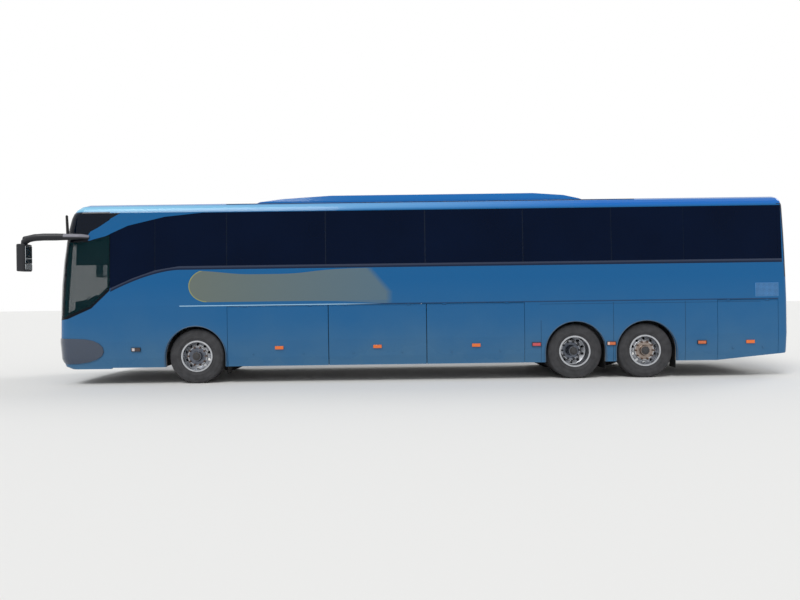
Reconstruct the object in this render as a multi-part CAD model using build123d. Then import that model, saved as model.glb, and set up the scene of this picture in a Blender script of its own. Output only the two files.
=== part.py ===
from build123d import *
import math
import os

# A three-axle touring coach. Millimetres, +X forward, +Y to the driver's (left) side, +Z up.
# The origin is on the ground under the middle of the whole object, mirrors included.
# Places along the coach are given as "back", the distance behind the tip of the nose.

# Overall sizes
body_length = 14050.0
body_width = 2550.0
mirror_reach = 500.0
nose_x = (body_length - mirror_reach) / 2
half = body_width / 2

# Heights
sill_z = 325.0
bumper_z = 305.0
bumper_top_z = 620.0
flap_top_z = 1462.0
waist_z = flap_top_z + 14.0
glass_low_z = 2250.0
glass_top_z = 3285.0
pane_top_z = glass_top_z - 12.0
shoulder_z = 3465.0
fairing_top_z = 3640.0
saloon_floor_z = 1300.0
cab_floor_z = 950.0
hold_floor_z = 370.0
floor_t = 40.0

# Opening in the front bumper, and the towing sockets behind the bumpers
grille_half = 620.0
grille_z0 = 400.0
grille_z1 = 560.0
socket_y = 380.0
socket_r = 20.0
front_socket_z = 480.0
rear_socket_z = 600.0

# Shell
wall = 60.0
pane = 8.0
bond = 0.3
lean = 55.0
cove_in = 190.0
corner_r = 260.0
nose_turn = 8.0
tail_r = 90.0
tail_turn = 1.5
cap_back = 1110.0
tail_back = 13860.0

# Axles and wheels
front_axle = 2730.0
drive_axle = 9980.0
tag_axle = 11330.0
tyre_r = 522.0
tyre_w = 295.0
bead_r = 287.0
flange_r = 304.0
tyre_y = 1060.0
twin_pitch = 330.0
king_y = 960.0
king_r = 22.0
spindle_r = 45.0
arch_r = 575.0
house_half = 595.0
house_y = 500.0
house_top_z = 1200.0
axle_z = tyre_r
running = 0.3

# Glass lines along the side and the room between panes
pane_lines = [1970.0, 3340.0, 5230.0, 7130.0, 9000.0, 10690.0, 12070.0]
pane_gap = 12.0
post_w = 70.0

# Luggage and service flaps: name, start, end, low edge, side (1 is left)
flap_gap = 14.0
hinge_r = 8.0
pin_r = 4.0
hinge_len = 60.0
flap_table = [
    ("left_flap_front", 3340.0, 5270.0, sill_z, 1),
    ("left_flap_middle", 5270.0, 7140.0, sill_z, 1),
    ("left_flap_rear", 7140.0, 9010.0, sill_z, 1),
    ("left_engine_flap", 12680.0, 13840.0, sill_z, 1),
    ("right_flap_front", 3340.0, 5270.0, sill_z, -1),
    ("right_flap_middle", 5270.0, 7140.0, sill_z, -1),
    ("right_flap_rear", 7140.0, 7900.0, sill_z, -1),
    ("right_engine_flap", 12680.0, 13840.0, sill_z, -1),
]

# Doors on the right side: name, start, end, low, high, pivot side (1 forward, -1 rearward)
door_gap = 12.0
door_table = [
    ("entrance", 1150.0, 2020.0, 365.0, 2620.0, 1),
    ("middle", 8010.0, 8880.0, 365.0, 2140.0, -1),
]
arm_post_in = 65.0
arm_eye_in = 95.0
arm_out = 160.0
arm_long = 430.0
arm_r = 18.0
arm_post_r = 24.0
arm_edge = 50.0

os.makedirs("parts", exist_ok=True)


def at(back):
    """Place along the coach of a distance behind the nose."""
    return nose_x - back


def block(x0, x1, y0, y1, z0, z1):
    """A box from its two corners."""
    return Pos((x0 + x1) / 2, (y0 + y1) / 2, (z0 + z1) / 2) * Box(abs(x1 - x0), abs(y1 - y0), abs(z1 - z0))


def rod(start, end, radius):
    """A round bar between two points."""
    a, b = Vector(*start), Vector(*end)
    return extrude(Plane(origin=a, z_dir=(b - a)) * Circle(radius), (b - a).length)


def turned(points, y=0.0, x=0.0, z=0.0):
    """A closed outline of (radius, offset) points turned round a cross axis at x, y, z."""
    outline = Plane.YZ * make_face(Polyline(*[(off, rad) for rad, off in points], close=True))
    return Pos(x, y, z) * revolve(outline, Axis.Y)


def side_prism(points, y0, y1):
    """An outline seen from the side, (back, height) points, carried across from y0 to y1."""
    outline = Plane.XZ * make_face(Polyline(*[(at(b), z) for b, z in points], close=True))
    return Pos(0, max(y0, y1), 0) * extrude(outline, abs(y1 - y0))


def fuse(shapes):
    first, *rest = shapes
    return first.fuse(*rest) if rest else first


def cut(shape, tools):
    tools = list(tools)
    return shape.cut(*tools) if tools else shape


def save(name, shapes):
    """Write one node, whose like pieces are separate solids."""
    shapes = shapes if isinstance(shapes, list) else [shapes]
    solids = [s for shape in shapes for s in shape.solids()]
    export_step(solids[0] if len(solids) == 1 else Compound(children=solids), f"parts/{name}.step")


def mirrored(shape):
    return shape.mirror(Plane.XZ)


# Body levels: height, nose set back, half width taken in, corner radius, tail set in
levels = [
    (bumper_z, 190.0, 35.0, corner_r, 40.0),
    (350.0, 80.0, 35.0, corner_r, 25.0),
    (500.0, 18.0, 18.0, corner_r, 8.0),
    (820.0, 0.0, 0.0, corner_r, 0.0),
    (1300.0, 8.0, 0.0, corner_r, 0.0),
    (1500.0, 12.0, 0.0, corner_r, 0.0),
    (1910.0, 24.0, lean * 0.23, corner_r, 2.0),
    (2370.0, 62.0, lean * 0.49, corner_r, 8.0),
    (2710.0, 110.0, lean * 0.68, corner_r, 16.0),
    (3000.0, 160.0, lean * 0.84, corner_r, 26.0),
    (3200.0, 212.0, lean * 0.95, corner_r, 34.0),
    (glass_top_z, 252.0, lean, corner_r, 40.0),
    (3365.0, 310.0, lean + 35.0, corner_r - 20.0, 50.0),
    (3425.0, 390.0, lean + 95.0, corner_r - 70.0, 62.0),
    (shoulder_z, 500.0, lean + cove_in, corner_r - 150.0, 76.0),
]


def layer(depth):
    """The body's levels taken inwards by a depth."""
    out = []
    for z, nose, inset, radius, tail in levels:
        rise = max(0.0, (z - glass_top_z) / (shoulder_z - glass_top_z))
        side = depth * (1 - 0.5 * rise)
        out.append((z - depth * rise, nose + side, inset + side, max(radius - depth, 60.0), tail + side))
    return out


def cap_section(z, tip, inset, radius, turn, end_x, forward):
    """Level outline of the nose or tail: a bowed end with a round corner each side."""
    a = math.radians(turn)
    w = half - inset
    side_y = w - radius * (1 - math.sin(a))
    big = side_y / math.sin(a)
    bow_x = tip - forward * big * (1 - math.cos(a))
    tan_x = bow_x - forward * radius * math.cos(a)
    mid = math.radians((turn + 90) / 2)
    mid_x, mid_y = tan_x + forward * radius * math.cos(mid), w - radius + radius * math.sin(mid)
    edges = [
        Line((end_x, -w), (tan_x, -w)),
        ThreePointArc((tan_x, -w), (mid_x, -mid_y), (bow_x, -side_y)),
        ThreePointArc((bow_x, -side_y), (tip, 0), (bow_x, side_y)),
        ThreePointArc((bow_x, side_y), (mid_x, mid_y), (tan_x, w)),
        Line((tan_x, w), (end_x, w)),
        Line((end_x, w), (end_x, -w)),
    ]
    return Pos(0, 0, z) * make_face(edges)


def nose_solid(depth, low=0.0):
    rows = layer(depth)
    rows = [(rows[0][0] - low,) + rows[0][1:]] + rows[1:]
    faces = [cap_section(z, at(nose), inset, r, nose_turn, at(cap_back), 1) for z, nose, inset, r, _ in rows]
    return loft(faces, ruled=True)


def tail_solid(depth, low=0.0):
    rows = layer(depth)
    rows = [(rows[0][0] - low,) + rows[0][1:]] + rows[1:]
    end = at(body_length)
    faces = [cap_section(z, end + tail, inset, min(r, max(tail_r - depth, 60.0)), tail_turn, at(tail_back), -1)
             for z, _, inset, r, tail in rows]
    return loft(faces, ruled=True)


def level_y(z, depth):
    """Half width of the body at a height."""
    rows = layer(depth)
    for (z0, _, i0, _, _), (z1, _, i1, _, _) in zip(rows, rows[1:]):
        if z0 <= z <= z1:
            return half - i0 - (i1 - i0) * (z - z0) / (z1 - z0)
    return half - (rows[0][2] if z < rows[0][0] else rows[-1][2])


def wall_strip(d0, d1, z0, z1, back0, back1, side):
    """A length of side wall between two depths and two heights."""
    def edge(depth):
        zs = [z0] + [row[0] for row in layer(depth) if z0 < row[0] < z1] + [z1]
        return [(level_y(z, depth), z) for z in zs]
    points = edge(d0) + edge(d1)[::-1]
    outline = Plane.YZ * make_face(Polyline(*points, close=True))
    strip = Pos(at(back1), 0, 0) * extrude(outline, back1 - back0)
    return strip if side > 0 else mirrored(strip)


def beside(side, inner=200.0, outer=400.0):
    """The range of y that holds one side wall."""
    return (half - inner, half + outer) if side > 0 else (-half - outer, -half + inner)


# Side glass and the swept wing, seen from the side: (back, height)
wing_low = [(700.0, 2755.0), (788.0, 2783.0), (1036.0, 2847.0), (cap_back, 2885.0), (1456.0, 3040.0),
            (2160.0, 3202.0), (3010.0, glass_top_z)]
wing_high = [(cap_back, 3165.0), (883.0, 3010.0), (740.0, 2935.0), (690.0, 2870.0)]
dip = [(330.0, 1320.0), (760.0, 1500.0), (cap_back, 1842.0), (1540.0, 2030.0), (1980.0, 2180.0),
       (2430.0, glass_low_z)]
band_end = tail_back + 4
band_corner = 13935.0


def line_z(points, back):
    for (b0, z0), (b1, z1) in zip(points, points[1:]):
        if b0 <= back <= b1:
            return z0 + (z1 - z0) * (back - b0) / (b1 - b0)
    return points[-1][1] if back > points[-1][0] else points[0][1]


def pane_outline(back0, back1, inset=0.0):
    """One side pane between two lines, under the wing and above the dip."""
    b0, b1 = back0 + inset, back1 - inset
    low = [(b0, line_z(dip, b0))] + [p for p in dip if b0 < p[0] < b1] + [(b1, line_z(dip, b1))]
    high = [(b1, min(line_z(wing_low, b1), glass_top_z))]
    high += [p for p in reversed(wing_low) if b0 < p[0] < b1]
    high += [(b0, min(line_z(wing_low, b0), glass_top_z))]
    return [(b, z + inset) for b, z in low] + [(b, z - inset) for b, z in high]


def arch_cut(back):
    return rod((at(back), half + 50, axle_z), (at(back), -half - 50, axle_z), arch_r)


def under_cut():
    """What lies below the skirt, which rises at the tail."""
    points = [(-200.0, 0.0), (-200.0, bumper_z), (cap_back, bumper_z), (cap_back, sill_z), (12680.0, sill_z),
              (14300.0, 480.0), (14300.0, 0.0)]
    return side_prism(points, -half - 100, half + 100)


below = under_cut()
axle_backs = (front_axle, drive_axle, tag_axle)
arches = [block(at(b) - arch_r, at(b) + arch_r, -half - 50, half + 50, 0, axle_z) for b in axle_backs]
arches += [arch_cut(b) for b in axle_backs]


def hinge_spots(start, end):
    inset = max(140.0, (end - start) * 0.18)
    return [start + inset, end - inset]


def flap_piece(start, end, low, side):
    """A flap with its hinge tube along the top, notched and bored for the wall's knuckles."""
    a, b = start + flap_gap / 2, end - flap_gap / 2
    body = wall_strip(0, wall, low, flap_top_z, a, b, 1)
    hinge_y = half - 2.0
    tube = rod((at(b), hinge_y, flap_top_z), (at(a), hinge_y, flap_top_z), hinge_r)
    piece = body.fuse(tube)
    tools = [below]
    for spot in hinge_spots(start, end):
        x = at(spot)
        tools.append(block(x - hinge_len / 2 - 6, x + hinge_len / 2 + 6, hinge_y - 15, half + 20,
                           flap_top_z - 15, flap_top_z + 20))
        tools.append(rod((x - hinge_len, hinge_y, flap_top_z), (x + hinge_len, hinge_y, flap_top_z),
                         pin_r + running))
    piece = cut(piece, tools)
    return piece if side > 0 else mirrored(piece)


def flap_knuckles(start, end, side):
    """Knuckles and pins that the side wall carries for one flap."""
    hinge_y = half - 2.0
    made = []
    for spot in hinge_spots(start, end):
        x = at(spot)
        x0, x1 = x - hinge_len / 2, x + hinge_len / 2
        made.append(rod((x0, hinge_y, flap_top_z), (x1, hinge_y, flap_top_z), hinge_r))
        made.append(block(x0, x1, hinge_y - 6, hinge_y + 2, flap_top_z, flap_top_z + 16))
        made.append(rod((x - hinge_len + 4, hinge_y, flap_top_z), (x + hinge_len - 4, hinge_y, flap_top_z), pin_r))
    return made if side > 0 else [mirrored(m) for m in made]


def side_wall(side):
    """One side wall with its arches, flap and door openings and window openings."""
    piece = wall_strip(0, wall, bumper_z - 20, glass_top_z, cap_back, tail_back, side)
    y0, y1 = beside(side)
    tools = [below] + arches
    for _, start, end, low, flap_side in flap_table:
        if flap_side == side:
            floor = low - 200 if low == sill_z else low - flap_gap
            tools.append(block(at(end), at(start), y0, y1, floor, waist_z))
    for _, start, end, low, high, _ in door_table:
        if side < 0:
            tools.append(block(at(end), at(start), y0, y1, low - 300, high + door_gap))
    piece = cut(piece, tools)
    recess = wall_strip(0, pane + bond, 1700.0, pane_top_z, cap_back, band_end, side)
    zone = side_prism(pane_outline(cap_back, band_end), y0, y1)
    holes = [recess & zone]
    for b0, b1 in side_panes(side):
        holes.append(side_prism(pane_outline(b0, b1, post_w / 2), y0, y1))
    knuckles = [k for _, s, e, _, fs in flap_table if fs == side for k in flap_knuckles(s, e, side)]
    x0, x1 = at(tail_back) - 10, at(cap_back) + 10
    lower = block(x0, x1, y0, y1, 0, waist_z)
    seams = [block(x0, x1, y0, y1, waist_z - running, waist_z)]
    if side < 0:
        head_z = door_table[1][4] + door_gap
        seams.append(block(x0, x1, y0, y1, head_z, head_z + running))
        for back in door_table[0][1:3]:
            seams.append(block(at(back), at(back) + running, y0, y1, waist_z, glass_top_z + 10))
    upper = cut(piece, holes + [lower] + seams)
    return [fuse([upper] + knuckles), cut(piece & lower, seams)]


def side_panes(side):
    """Start and end of each pane of a side, as fitted."""
    lines = [cap_back] + pane_lines + [band_end]
    pairs = [(a + pane_gap / 2, b - pane_gap / 2) for a, b in zip(lines, lines[1:])]
    if side < 0:
        pairs = [(door_table[0][2] + 40, b) if a < door_table[0][2] < b else (a, b) for a, b in pairs]
        pairs = pairs[1:] if pairs[0][1] < door_table[0][2] + 100 else pairs
    return pairs


def side_glass(side):
    y0, y1 = beside(side)
    made = []
    for b0, b1 in side_panes(side):
        strip = wall_strip(0, pane, 1700.0, pane_top_z, b0, b1, side)
        made.append(strip & side_prism(pane_outline(b0, b1), y0, y1))
    if side < 0:
        b0, b1, low = cap_back + pane_gap / 2, door_table[0][2] + 28, door_table[0][4] + 25
        strip = wall_strip(0, pane, low, pane_top_z, b0, b1, side)
        made.append(strip & side_prism(pane_outline(b0, b1), y0, y1))
    return made


print("side walls")
save("left_side_wall", side_wall(1))
save("right_side_wall", side_wall(-1))

print("roof")
roof_rows = [(level_y(z, 0), z) for z, *_ in layer(0) if z >= glass_top_z]
roof_in = [(half - i, z) for z, _, i, _, _ in layer(wall) if z >= glass_top_z - 1]
roof_in = [(roof_in[0][0], glass_top_z)] + roof_in[1:]
roof_outline = roof_rows + [(-y, z) for y, z in reversed(roof_rows)]
roof_outline += [(-y, z) for y, z in roof_in] + list(reversed(roof_in))
roof = extrude(Plane.YZ * make_face(Polyline(*roof_outline, close=True)), tail_back - cap_back)
save("roof", Pos(at(tail_back), 0, 0) * roof)

print("nose and tail")
nose_out, nose_pane, nose_in = nose_solid(0), nose_solid(pane + bond), nose_solid(wall, 60)
nose_glass_in = nose_solid(pane)
nose_shell = nose_out - nose_in
nose_shell = cut(nose_shell, [below])
screen_outline = [(-200.0, 1235.0), (200.0, 1286.0), (290.0, 2758.0), (690.0, 2890.0), (740.0, 2950.0),
                  (883.0, 3028.0), (cap_back + 10, 3190.0), (cap_back + 10, pane_top_z), (-200.0, pane_top_z)]
corner_window = [(230.0, 1300.0), (760.0, 1520.0), (cap_back - pane_gap / 2, 1862.0),
                 (cap_back - pane_gap / 2, 2868.0), (1036.0, 2832.0), (788.0, 2768.0), (690.0, 2738.0),
                 (320.0, 2728.0)]
screen_hole = [(-200.0, 1300.0), (165.0, 1330.0), (255.0, 2825.0), (640.0, 2930.0), (840.0, 3060.0),
               (cap_back - 60, 3190.0), (cap_back - 60, 3225.0), (-200.0, 3225.0)]
corner_hole = [(290.0, 1375.0), (745.0, 1565.0), (cap_back - 50, 1870.0), (cap_back - 50, 2790.0), (780.0, 2720.0),
               (375.0, 2690.0)]


def across(points):
    return side_prism(points, -half - 100, half + 100)


screen_zone, corner_zone = across(screen_outline), across(corner_window)
nose_layer = nose_out - nose_pane
nose_body = cut(nose_shell, [nose_layer & screen_zone, nose_layer & corner_zone, across(screen_hole),
                             across(corner_hole)])
nose_skin = nose_out - nose_glass_in
save("windscreen", nose_skin & screen_zone)
corners = (nose_skin & corner_zone).solids()
frame_zone = across([(-200.0, 1205.0), (310.0, 1268.0), (760.0, 1465.0), (cap_back + 10, 1812.0),
                     (cap_back + 10, 2885.0), (1036.0, 2847.0), (788.0, 2783.0), (700.0, 2755.0), (690.0, 2870.0),
                     (740.0, 2935.0), (883.0, 3010.0), (cap_back + 10, 3165.0), (cap_back + 10, pane_top_z),
                     (-200.0, pane_top_z)])
split_low = block(at(cap_back) - 10, nose_x + 10, -half - 10, half + 10, 0, bumper_top_z)
split_top = block(at(cap_back) - 10, nose_x + 10, -half - 10, half + 10, pane_top_z, 4000)
grille_hole = block(at(330), at(-100), -grille_half, grille_half, grille_z0, grille_z1)
grille_hole = fillet(grille_hole.edges().filter_by(Axis.X), 45)
save("front_bumper", (nose_body & split_low) - grille_hole)
save("front_roof_cap", nose_body & split_top)
nose_middle = cut(nose_body, [split_low, split_top])
save("window_frames", nose_middle & frame_zone)
save("front_panel", nose_middle - frame_zone)

tail_out, tail_in = tail_solid(0), tail_solid(wall, 60)
tail_shell = cut(tail_out - tail_in, [below])
lid_half, lid_low, lid_high = 860.0, 760.0, 1980.0
rear_x = at(body_length)
lid_hole = block(rear_x - 50, rear_x + 300, -lid_half, lid_half, lid_low, lid_high + 14)
lid_gap = 7.0
lid_body = block(rear_x - 50, rear_x + 300, lid_gap - lid_half, lid_half - lid_gap, lid_low + lid_gap, lid_high)
rear_glass_box = block(rear_x - 50, rear_x + 400, -1050, 1050, 2330, 3180)
rear_glass_hole = block(rear_x - 50, rear_x + 400, -1000, 1000, 2380, 3130)
tail_layer = tail_out - tail_solid(pane + bond)
tail_skin = tail_out - tail_solid(pane)
rear_bumper_box = block(rear_x - 10, at(tail_back) + 10, -half - 10, half + 10, 0, lid_low - 7)
tail_band = across([(tail_back, glass_low_z), (band_corner, glass_low_z), (band_corner, pane_top_z),
                    (tail_back, pane_top_z)])
tail_body = cut(tail_shell, [lid_hole, tail_layer & rear_glass_box, tail_layer & tail_band, rear_glass_hole])
corners += (tail_skin & tail_band).solids()
save("left_windows", side_glass(1) + [c for c in corners if c.center().Y > 0])
save("right_windows", side_glass(-1) + [c for c in corners if c.center().Y < 0])
save("rear_window", tail_skin & rear_glass_box)
rear_socket_hole = block(at(14200), at(13700), socket_y - 75, socket_y + 75, 300, rear_socket_z + 75)
save("rear_bumper", (tail_body & rear_bumper_box) - rear_socket_hole)
lid = tail_shell & lid_body
lid_hinge_x = rear_x + 12.0
lid_hinge_z = lid_high
lid_tools, lid_knuckles = [], []


def lid_rod(y, reach, radius):
    return rod((lid_hinge_x, y - reach, lid_hinge_z), (lid_hinge_x, y + reach, lid_hinge_z), radius)


for y in (-600.0, 600.0):
    lid_tools.append(block(rear_x - 50, lid_hinge_x + 15, y - 36, y + 36, lid_hinge_z - 15, lid_hinge_z + 30))
    lid_tools.append(lid_rod(y, hinge_len, pin_r + running))
    lid_knuckles.append(lid_rod(y, hinge_len / 2, hinge_r))
    lid_knuckles.append(block(lid_hinge_x - 2, lid_hinge_x + 6, y - 30, y + 30, lid_hinge_z, lid_hinge_z + 20))
    lid_knuckles.append(lid_rod(y, hinge_len - 4, pin_r))
save("engine_lid", cut(lid.fuse(lid_rod(0.0, lid_half - lid_gap, hinge_r)), lid_tools))
rear_panel = cut(tail_body, [rear_bumper_box])
save("rear_panel", fuse([rear_panel] + lid_knuckles))

print("flaps and doors")
for name, start, end, low, side in flap_table:
    save(name, flap_piece(start, end, low, side))

for name, start, end, low, high, pivot in door_table:
    a, b = start + door_gap, end - door_gap
    leaf = wall_strip(0, wall, low, high, a, b, -1)
    z_glass = 1250.0 if name == "entrance" else 1100.0
    y0, y1 = beside(-1)
    frame_w = 90.0
    view = block(at(b - frame_w), at(a + frame_w), y0, y1, z_glass, high - frame_w)
    rebate = block(at(b - frame_w + 30), at(a + frame_w - 30), y0, y1, z_glass - 30, high - frame_w + 30)
    glass = wall_strip(0, pane, z_glass - 29, high - frame_w + 29, a + frame_w - 29, b - frame_w + 29, -1)
    leaf = cut(leaf, [view, wall_strip(0, pane + bond, low, high, a, b, -1) & rebate])
    post_x = at(start) - arm_edge if pivot > 0 else at(end) + arm_edge
    post_y = -(half - wall - arm_post_in)
    eye_y = -(half - wall - arm_eye_in)
    reach = math.hypot(arm_long, arm_out)
    drop = arm_eye_in - arm_post_in
    eye_x = post_x - pivot * math.sqrt(reach ** 2 - drop ** 2)
    turn = 180 + math.degrees(math.asin(drop / reach)) - math.degrees(math.atan2(arm_out, arm_long))
    elbow_a = math.radians(90 + turn)
    elbow_x = post_x + pivot * arm_out * math.cos(elbow_a)
    elbow_y = post_y - arm_out * math.sin(elbow_a)
    arms = [rod((post_x, post_y, 360 + running), (post_x, post_y, high - 15), arm_post_r)]
    brackets = []
    for z in (low + 640.0, high - 45.0):
        arms.append(rod((post_x, post_y, z), (elbow_x, elbow_y, z), arm_r))
        arms.append(Pos(elbow_x, elbow_y, z) * Sphere(arm_r))
        arms.append(rod((elbow_x, elbow_y, z), (eye_x, eye_y, z), arm_r))
        arms.append(rod((eye_x, eye_y, z - 45), (eye_x, eye_y, z + 45), 12))
        for dz in (-40.0, 26.0):
            lug = block(eye_x - 22, eye_x + 22, -level_y(z, wall) - 20, eye_y + 20, z + dz, z + dz + 14)
            brackets.append(lug - rod((eye_x, eye_y, z - 60), (eye_x, eye_y, z + 60), 12 + running))
    print(name, "arm turns", round(turn, 2), "post", post_x, post_y, "eye", eye_x, eye_y)
    save(f"{name}_door", fuse([leaf] + brackets))
    save(f"{name}_door_glass", glass)
    save(f"{name}_door_arms", fuse(arms))

print("roof pieces")
pod_front, pod_back = 3720.0, 10390.0
pod_half = half - lean - 350.0
pod_base = shoulder_z + running
pod_wall = 60.0
pod_lean = 70.0
pod_corner = 260.0
pod_outline = [(pod_front, pod_base), (3900.0, 3520.0), (4350.0, 3580.0), (5300.0, fairing_top_z),
               (9300.0, fairing_top_z), (9900.0, 3590.0), (pod_back, pod_base)]
pod_room = [(4100.0, pod_base), (4400.0, 3530.0), (5300.0, fairing_top_z - pod_wall),
            (9400.0, fairing_top_z - pod_wall), (9750.0, 3540.0), (10000.0, pod_base)]
pod_plan = RectangleRounded(pod_back - pod_front, 2 * pod_half, pod_corner)
pod_plan = extrude(Pos(at((pod_front + pod_back) / 2), 0, pod_base) * pod_plan, fairing_top_z)
pod_section = [(pod_half, pod_base), (pod_half - 12, pod_base + 60), (pod_half - pod_lean, fairing_top_z)]
pod_section += [(-y, z) for y, z in reversed(pod_section)]
pod_section = extrude(Plane.YZ * make_face(Polyline(*pod_section, close=True)), pod_back - pod_front)
pod = side_prism(pod_outline, -pod_half, pod_half) & pod_plan & (Pos(at(pod_back), 0, 0) * pod_section)
pod = pod - side_prism(pod_room, pod_wall + pod_lean - pod_half, pod_half - pod_wall - pod_lean)
hatch_long, hatch_wide, hatch_corner, hatch_rise, hatch_bevel = 800.0, 760.0, 90.0, 55.0, 16.0
hatches = []
for back in (2600.0, 11400.0):
    hatch = extrude(Pos(at(back), 0, pod_base) * RectangleRounded(hatch_long, hatch_wide, hatch_corner), hatch_rise)
    hatches.append(chamfer(hatch.faces().sort_by(Axis.Z)[-1].edges(), hatch_bevel))
save("roof_units", [pod] + hatches)

print("wheels")
hub_in, hub_out = 12.0, 145.0
disc_t = 18.0


def tyre(y):
    w = tyre_w / 2
    wall_out = [(bead_r + running, w - 25), (flange_r, w - 25), (flange_r + 30, w - 12), (tyre_r - 100, w),
                (tyre_r - 30, w - 8), (tyre_r, w - 40)]
    return turned(wall_out + [(r, -off) for r, off in reversed(wall_out)], y=y)


def rim(y, dish, hub_in, hub_out):
    """A wheel with its disc at a distance outwards from the tyre's middle, and its hub."""
    w = tyre_w / 2 - 25
    ring = turned([(bead_r - 16, -w), (bead_r, -w), (bead_r, w), (bead_r - 16, w)], y=y)
    edges = [turned([(bead_r - 16, e), (flange_r - 4, e), (flange_r - 4, e + d), (bead_r - 16, e + d)], y=y)
             for e, d in ((w + 0.3, 12.0), (-w - 0.3, -12.0))]
    seats = [turned([(bead_r - 16, e), (bead_r, e), (bead_r, e + d), (bead_r - 16, e + d)], y=y)
             for e, d in ((w - 1, 2.0), (-w + 1, -2.0))]
    d0, d1 = dish, dish + disc_t
    cone = dish - math.copysign(60.0, dish)
    disc = turned([(spindle_r + 60, d0), (spindle_r + 60, d1), (190, d1), (bead_r - 10, cone + disc_t),
                   (bead_r - 10, cone), (190, d0)], y=y)
    hub = turned([(spindle_r + running, hub_in), (118, hub_in), (118, dish + 4), (95, dish + disc_t), (88, hub_out),
                  (0.0, hub_out), (0.0, hub_out - 25), (spindle_r + running, hub_out - 25)], y=y)
    piece = fuse([ring] + edges + seats + [disc, hub])
    holes = []
    for k in range(10):
        a = math.radians(36 * k + 18)
        x, z = 228.0 * math.cos(a), 228.0 * math.sin(a)
        holes.append(rod((x, y - 400, z), (x, y + 400, z), 27))
    return piece, holes


def wheel(name, back, side, twin):
    x = at(back)
    if twin:
        tyres = [tyre(tyre_y), tyre(tyre_y - twin_pitch)]
        outer, holes = rim(tyre_y, -twin_pitch / 2, -twin_pitch + 60, 50.0)
        inner, _ = rim(tyre_y - twin_pitch, twin_pitch / 2 - 18, -60.0, 200.0)
        rims = fuse([outer, inner])
        rims = cut(rims, holes + [rod((0, 0, 0), (0, tyre_y - twin_pitch + 201, 0), spindle_r + running)])
    else:
        tyres = [tyre(tyre_y)]
        rims, holes = rim(tyre_y, 70.0, hub_in, hub_out)
        rims = cut(rims, holes)
    place = Pos(x, 0, axle_z)
    tyres, rims = [place * t for t in tyres], place * rims
    if side < 0:
        tyres, rims = [mirrored(t) for t in tyres], mirrored(rims)
    save(f"{name}_tyre", tyres)
    save(f"{name}_rim", rims)


wheel_table = [("front", front_axle, False), ("drive", drive_axle, True), ("tag", tag_axle, False)]
for name, back, twin in wheel_table:
    wheel(f"{name}_left", back, 1, twin)
    wheel(f"{name}_right", back, -1, twin)

print("axles")
spindle_end = tyre_y + hub_out - 27
yoke = 110.0
rail_y, rail_z = 380.0, 760.0


def knuckle(side):
    x, z = at(front_axle), axle_z
    pieces = [rod((x, king_y, z - yoke - 30), (x, king_y, z + yoke + 30), king_r - running)]
    pieces += [block(x - 60, x + 60, king_y - 45, tyre_y + hub_in - 4, z + e, z + e + 30) for e in (-yoke - 30, yoke)]
    pieces.append(block(x - 60, x + 60, king_y + 62, tyre_y + hub_in - 4, z - yoke - 30, z + yoke + 30))
    pieces.append(rod((x, king_y + 62, z), (x, spindle_end, z), spindle_r))
    piece = fuse(pieces)
    return piece if side > 0 else mirrored(piece)


save("left_knuckle", knuckle(1))
save("right_knuckle", knuckle(-1))
x = at(front_axle)
ends = [rod((x, s * king_y, axle_z - yoke + 8), (x, s * king_y, axle_z + yoke - 8), 48) for s in (1, -1)]
beam = block(x - 55, x + 55, -king_y + 30, king_y - 30, axle_z - 60, axle_z + 50)
bores = [rod((x, s * king_y, 0), (x, s * king_y, 1000), king_r) for s in (1, -1)]
springs = [rod((x, s * rail_y, axle_z + 40), (x, s * rail_y, rail_z - running), 70) for s in (1, -1)]
save("front_axle", cut(fuse([beam] + ends + springs), bores))


def fixed_axle(back, inner_y, centre_r, spindle_to):
    x = at(back)
    pieces = [rod((x, -inner_y, axle_z), (x, inner_y, axle_z), 75)]
    pieces += [rod((x, s * (inner_y - 5), axle_z), (x, s * spindle_to, axle_z), spindle_r) for s in (1, -1)]
    if centre_r:
        pieces.append(Pos(x, 0, axle_z) * Sphere(centre_r))
    for s in (1, -1):
        pieces.append(block(x - 450, x + 450, s * rail_y - 40, s * rail_y + 40, axle_z - 75, axle_z - 5))
        pieces += [rod((x + d, s * rail_y, axle_z - 20), (x + d, s * rail_y, rail_z - running), 75)
                   for d in (-380, 380)]
    return fuse(pieces)


save("rear_axles", [fixed_axle(drive_axle, tyre_y - twin_pitch - 62, 210, tyre_y + 20),
                    fixed_axle(tag_axle, tyre_y + hub_in - 4, 0, spindle_end)])

print("floors and frame")
inner = half - wall - running
moving_gap = 6.0
low_inner = half - wall - 46.0


def clear_of_flaps(floor):
    """Trim a floor's edges where flaps close against them."""
    edge = half - wall - moving_gap
    return cut(floor, [block(at(b), at(a), s * edge, s * (half + 50), 1200, 1400) for _, a, b, _, s in flap_table])


frame_z0, frame_z1 = rail_z, 960.0
house_t = 10.0


def houses(back0, back1, top):
    """Wheelhouses of both sides, open towards the wheel."""
    made = []
    for s in (1, -1):
        outer = block(at(back1) - house_t, at(back0) + house_t, s * (house_y - house_t), s * (inner - 14),
                      axle_z + 85, top)
        made.append(outer - block(at(back1), at(back0), s * house_y, s * (half + 100), 0, house_top_z))
    return made


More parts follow.
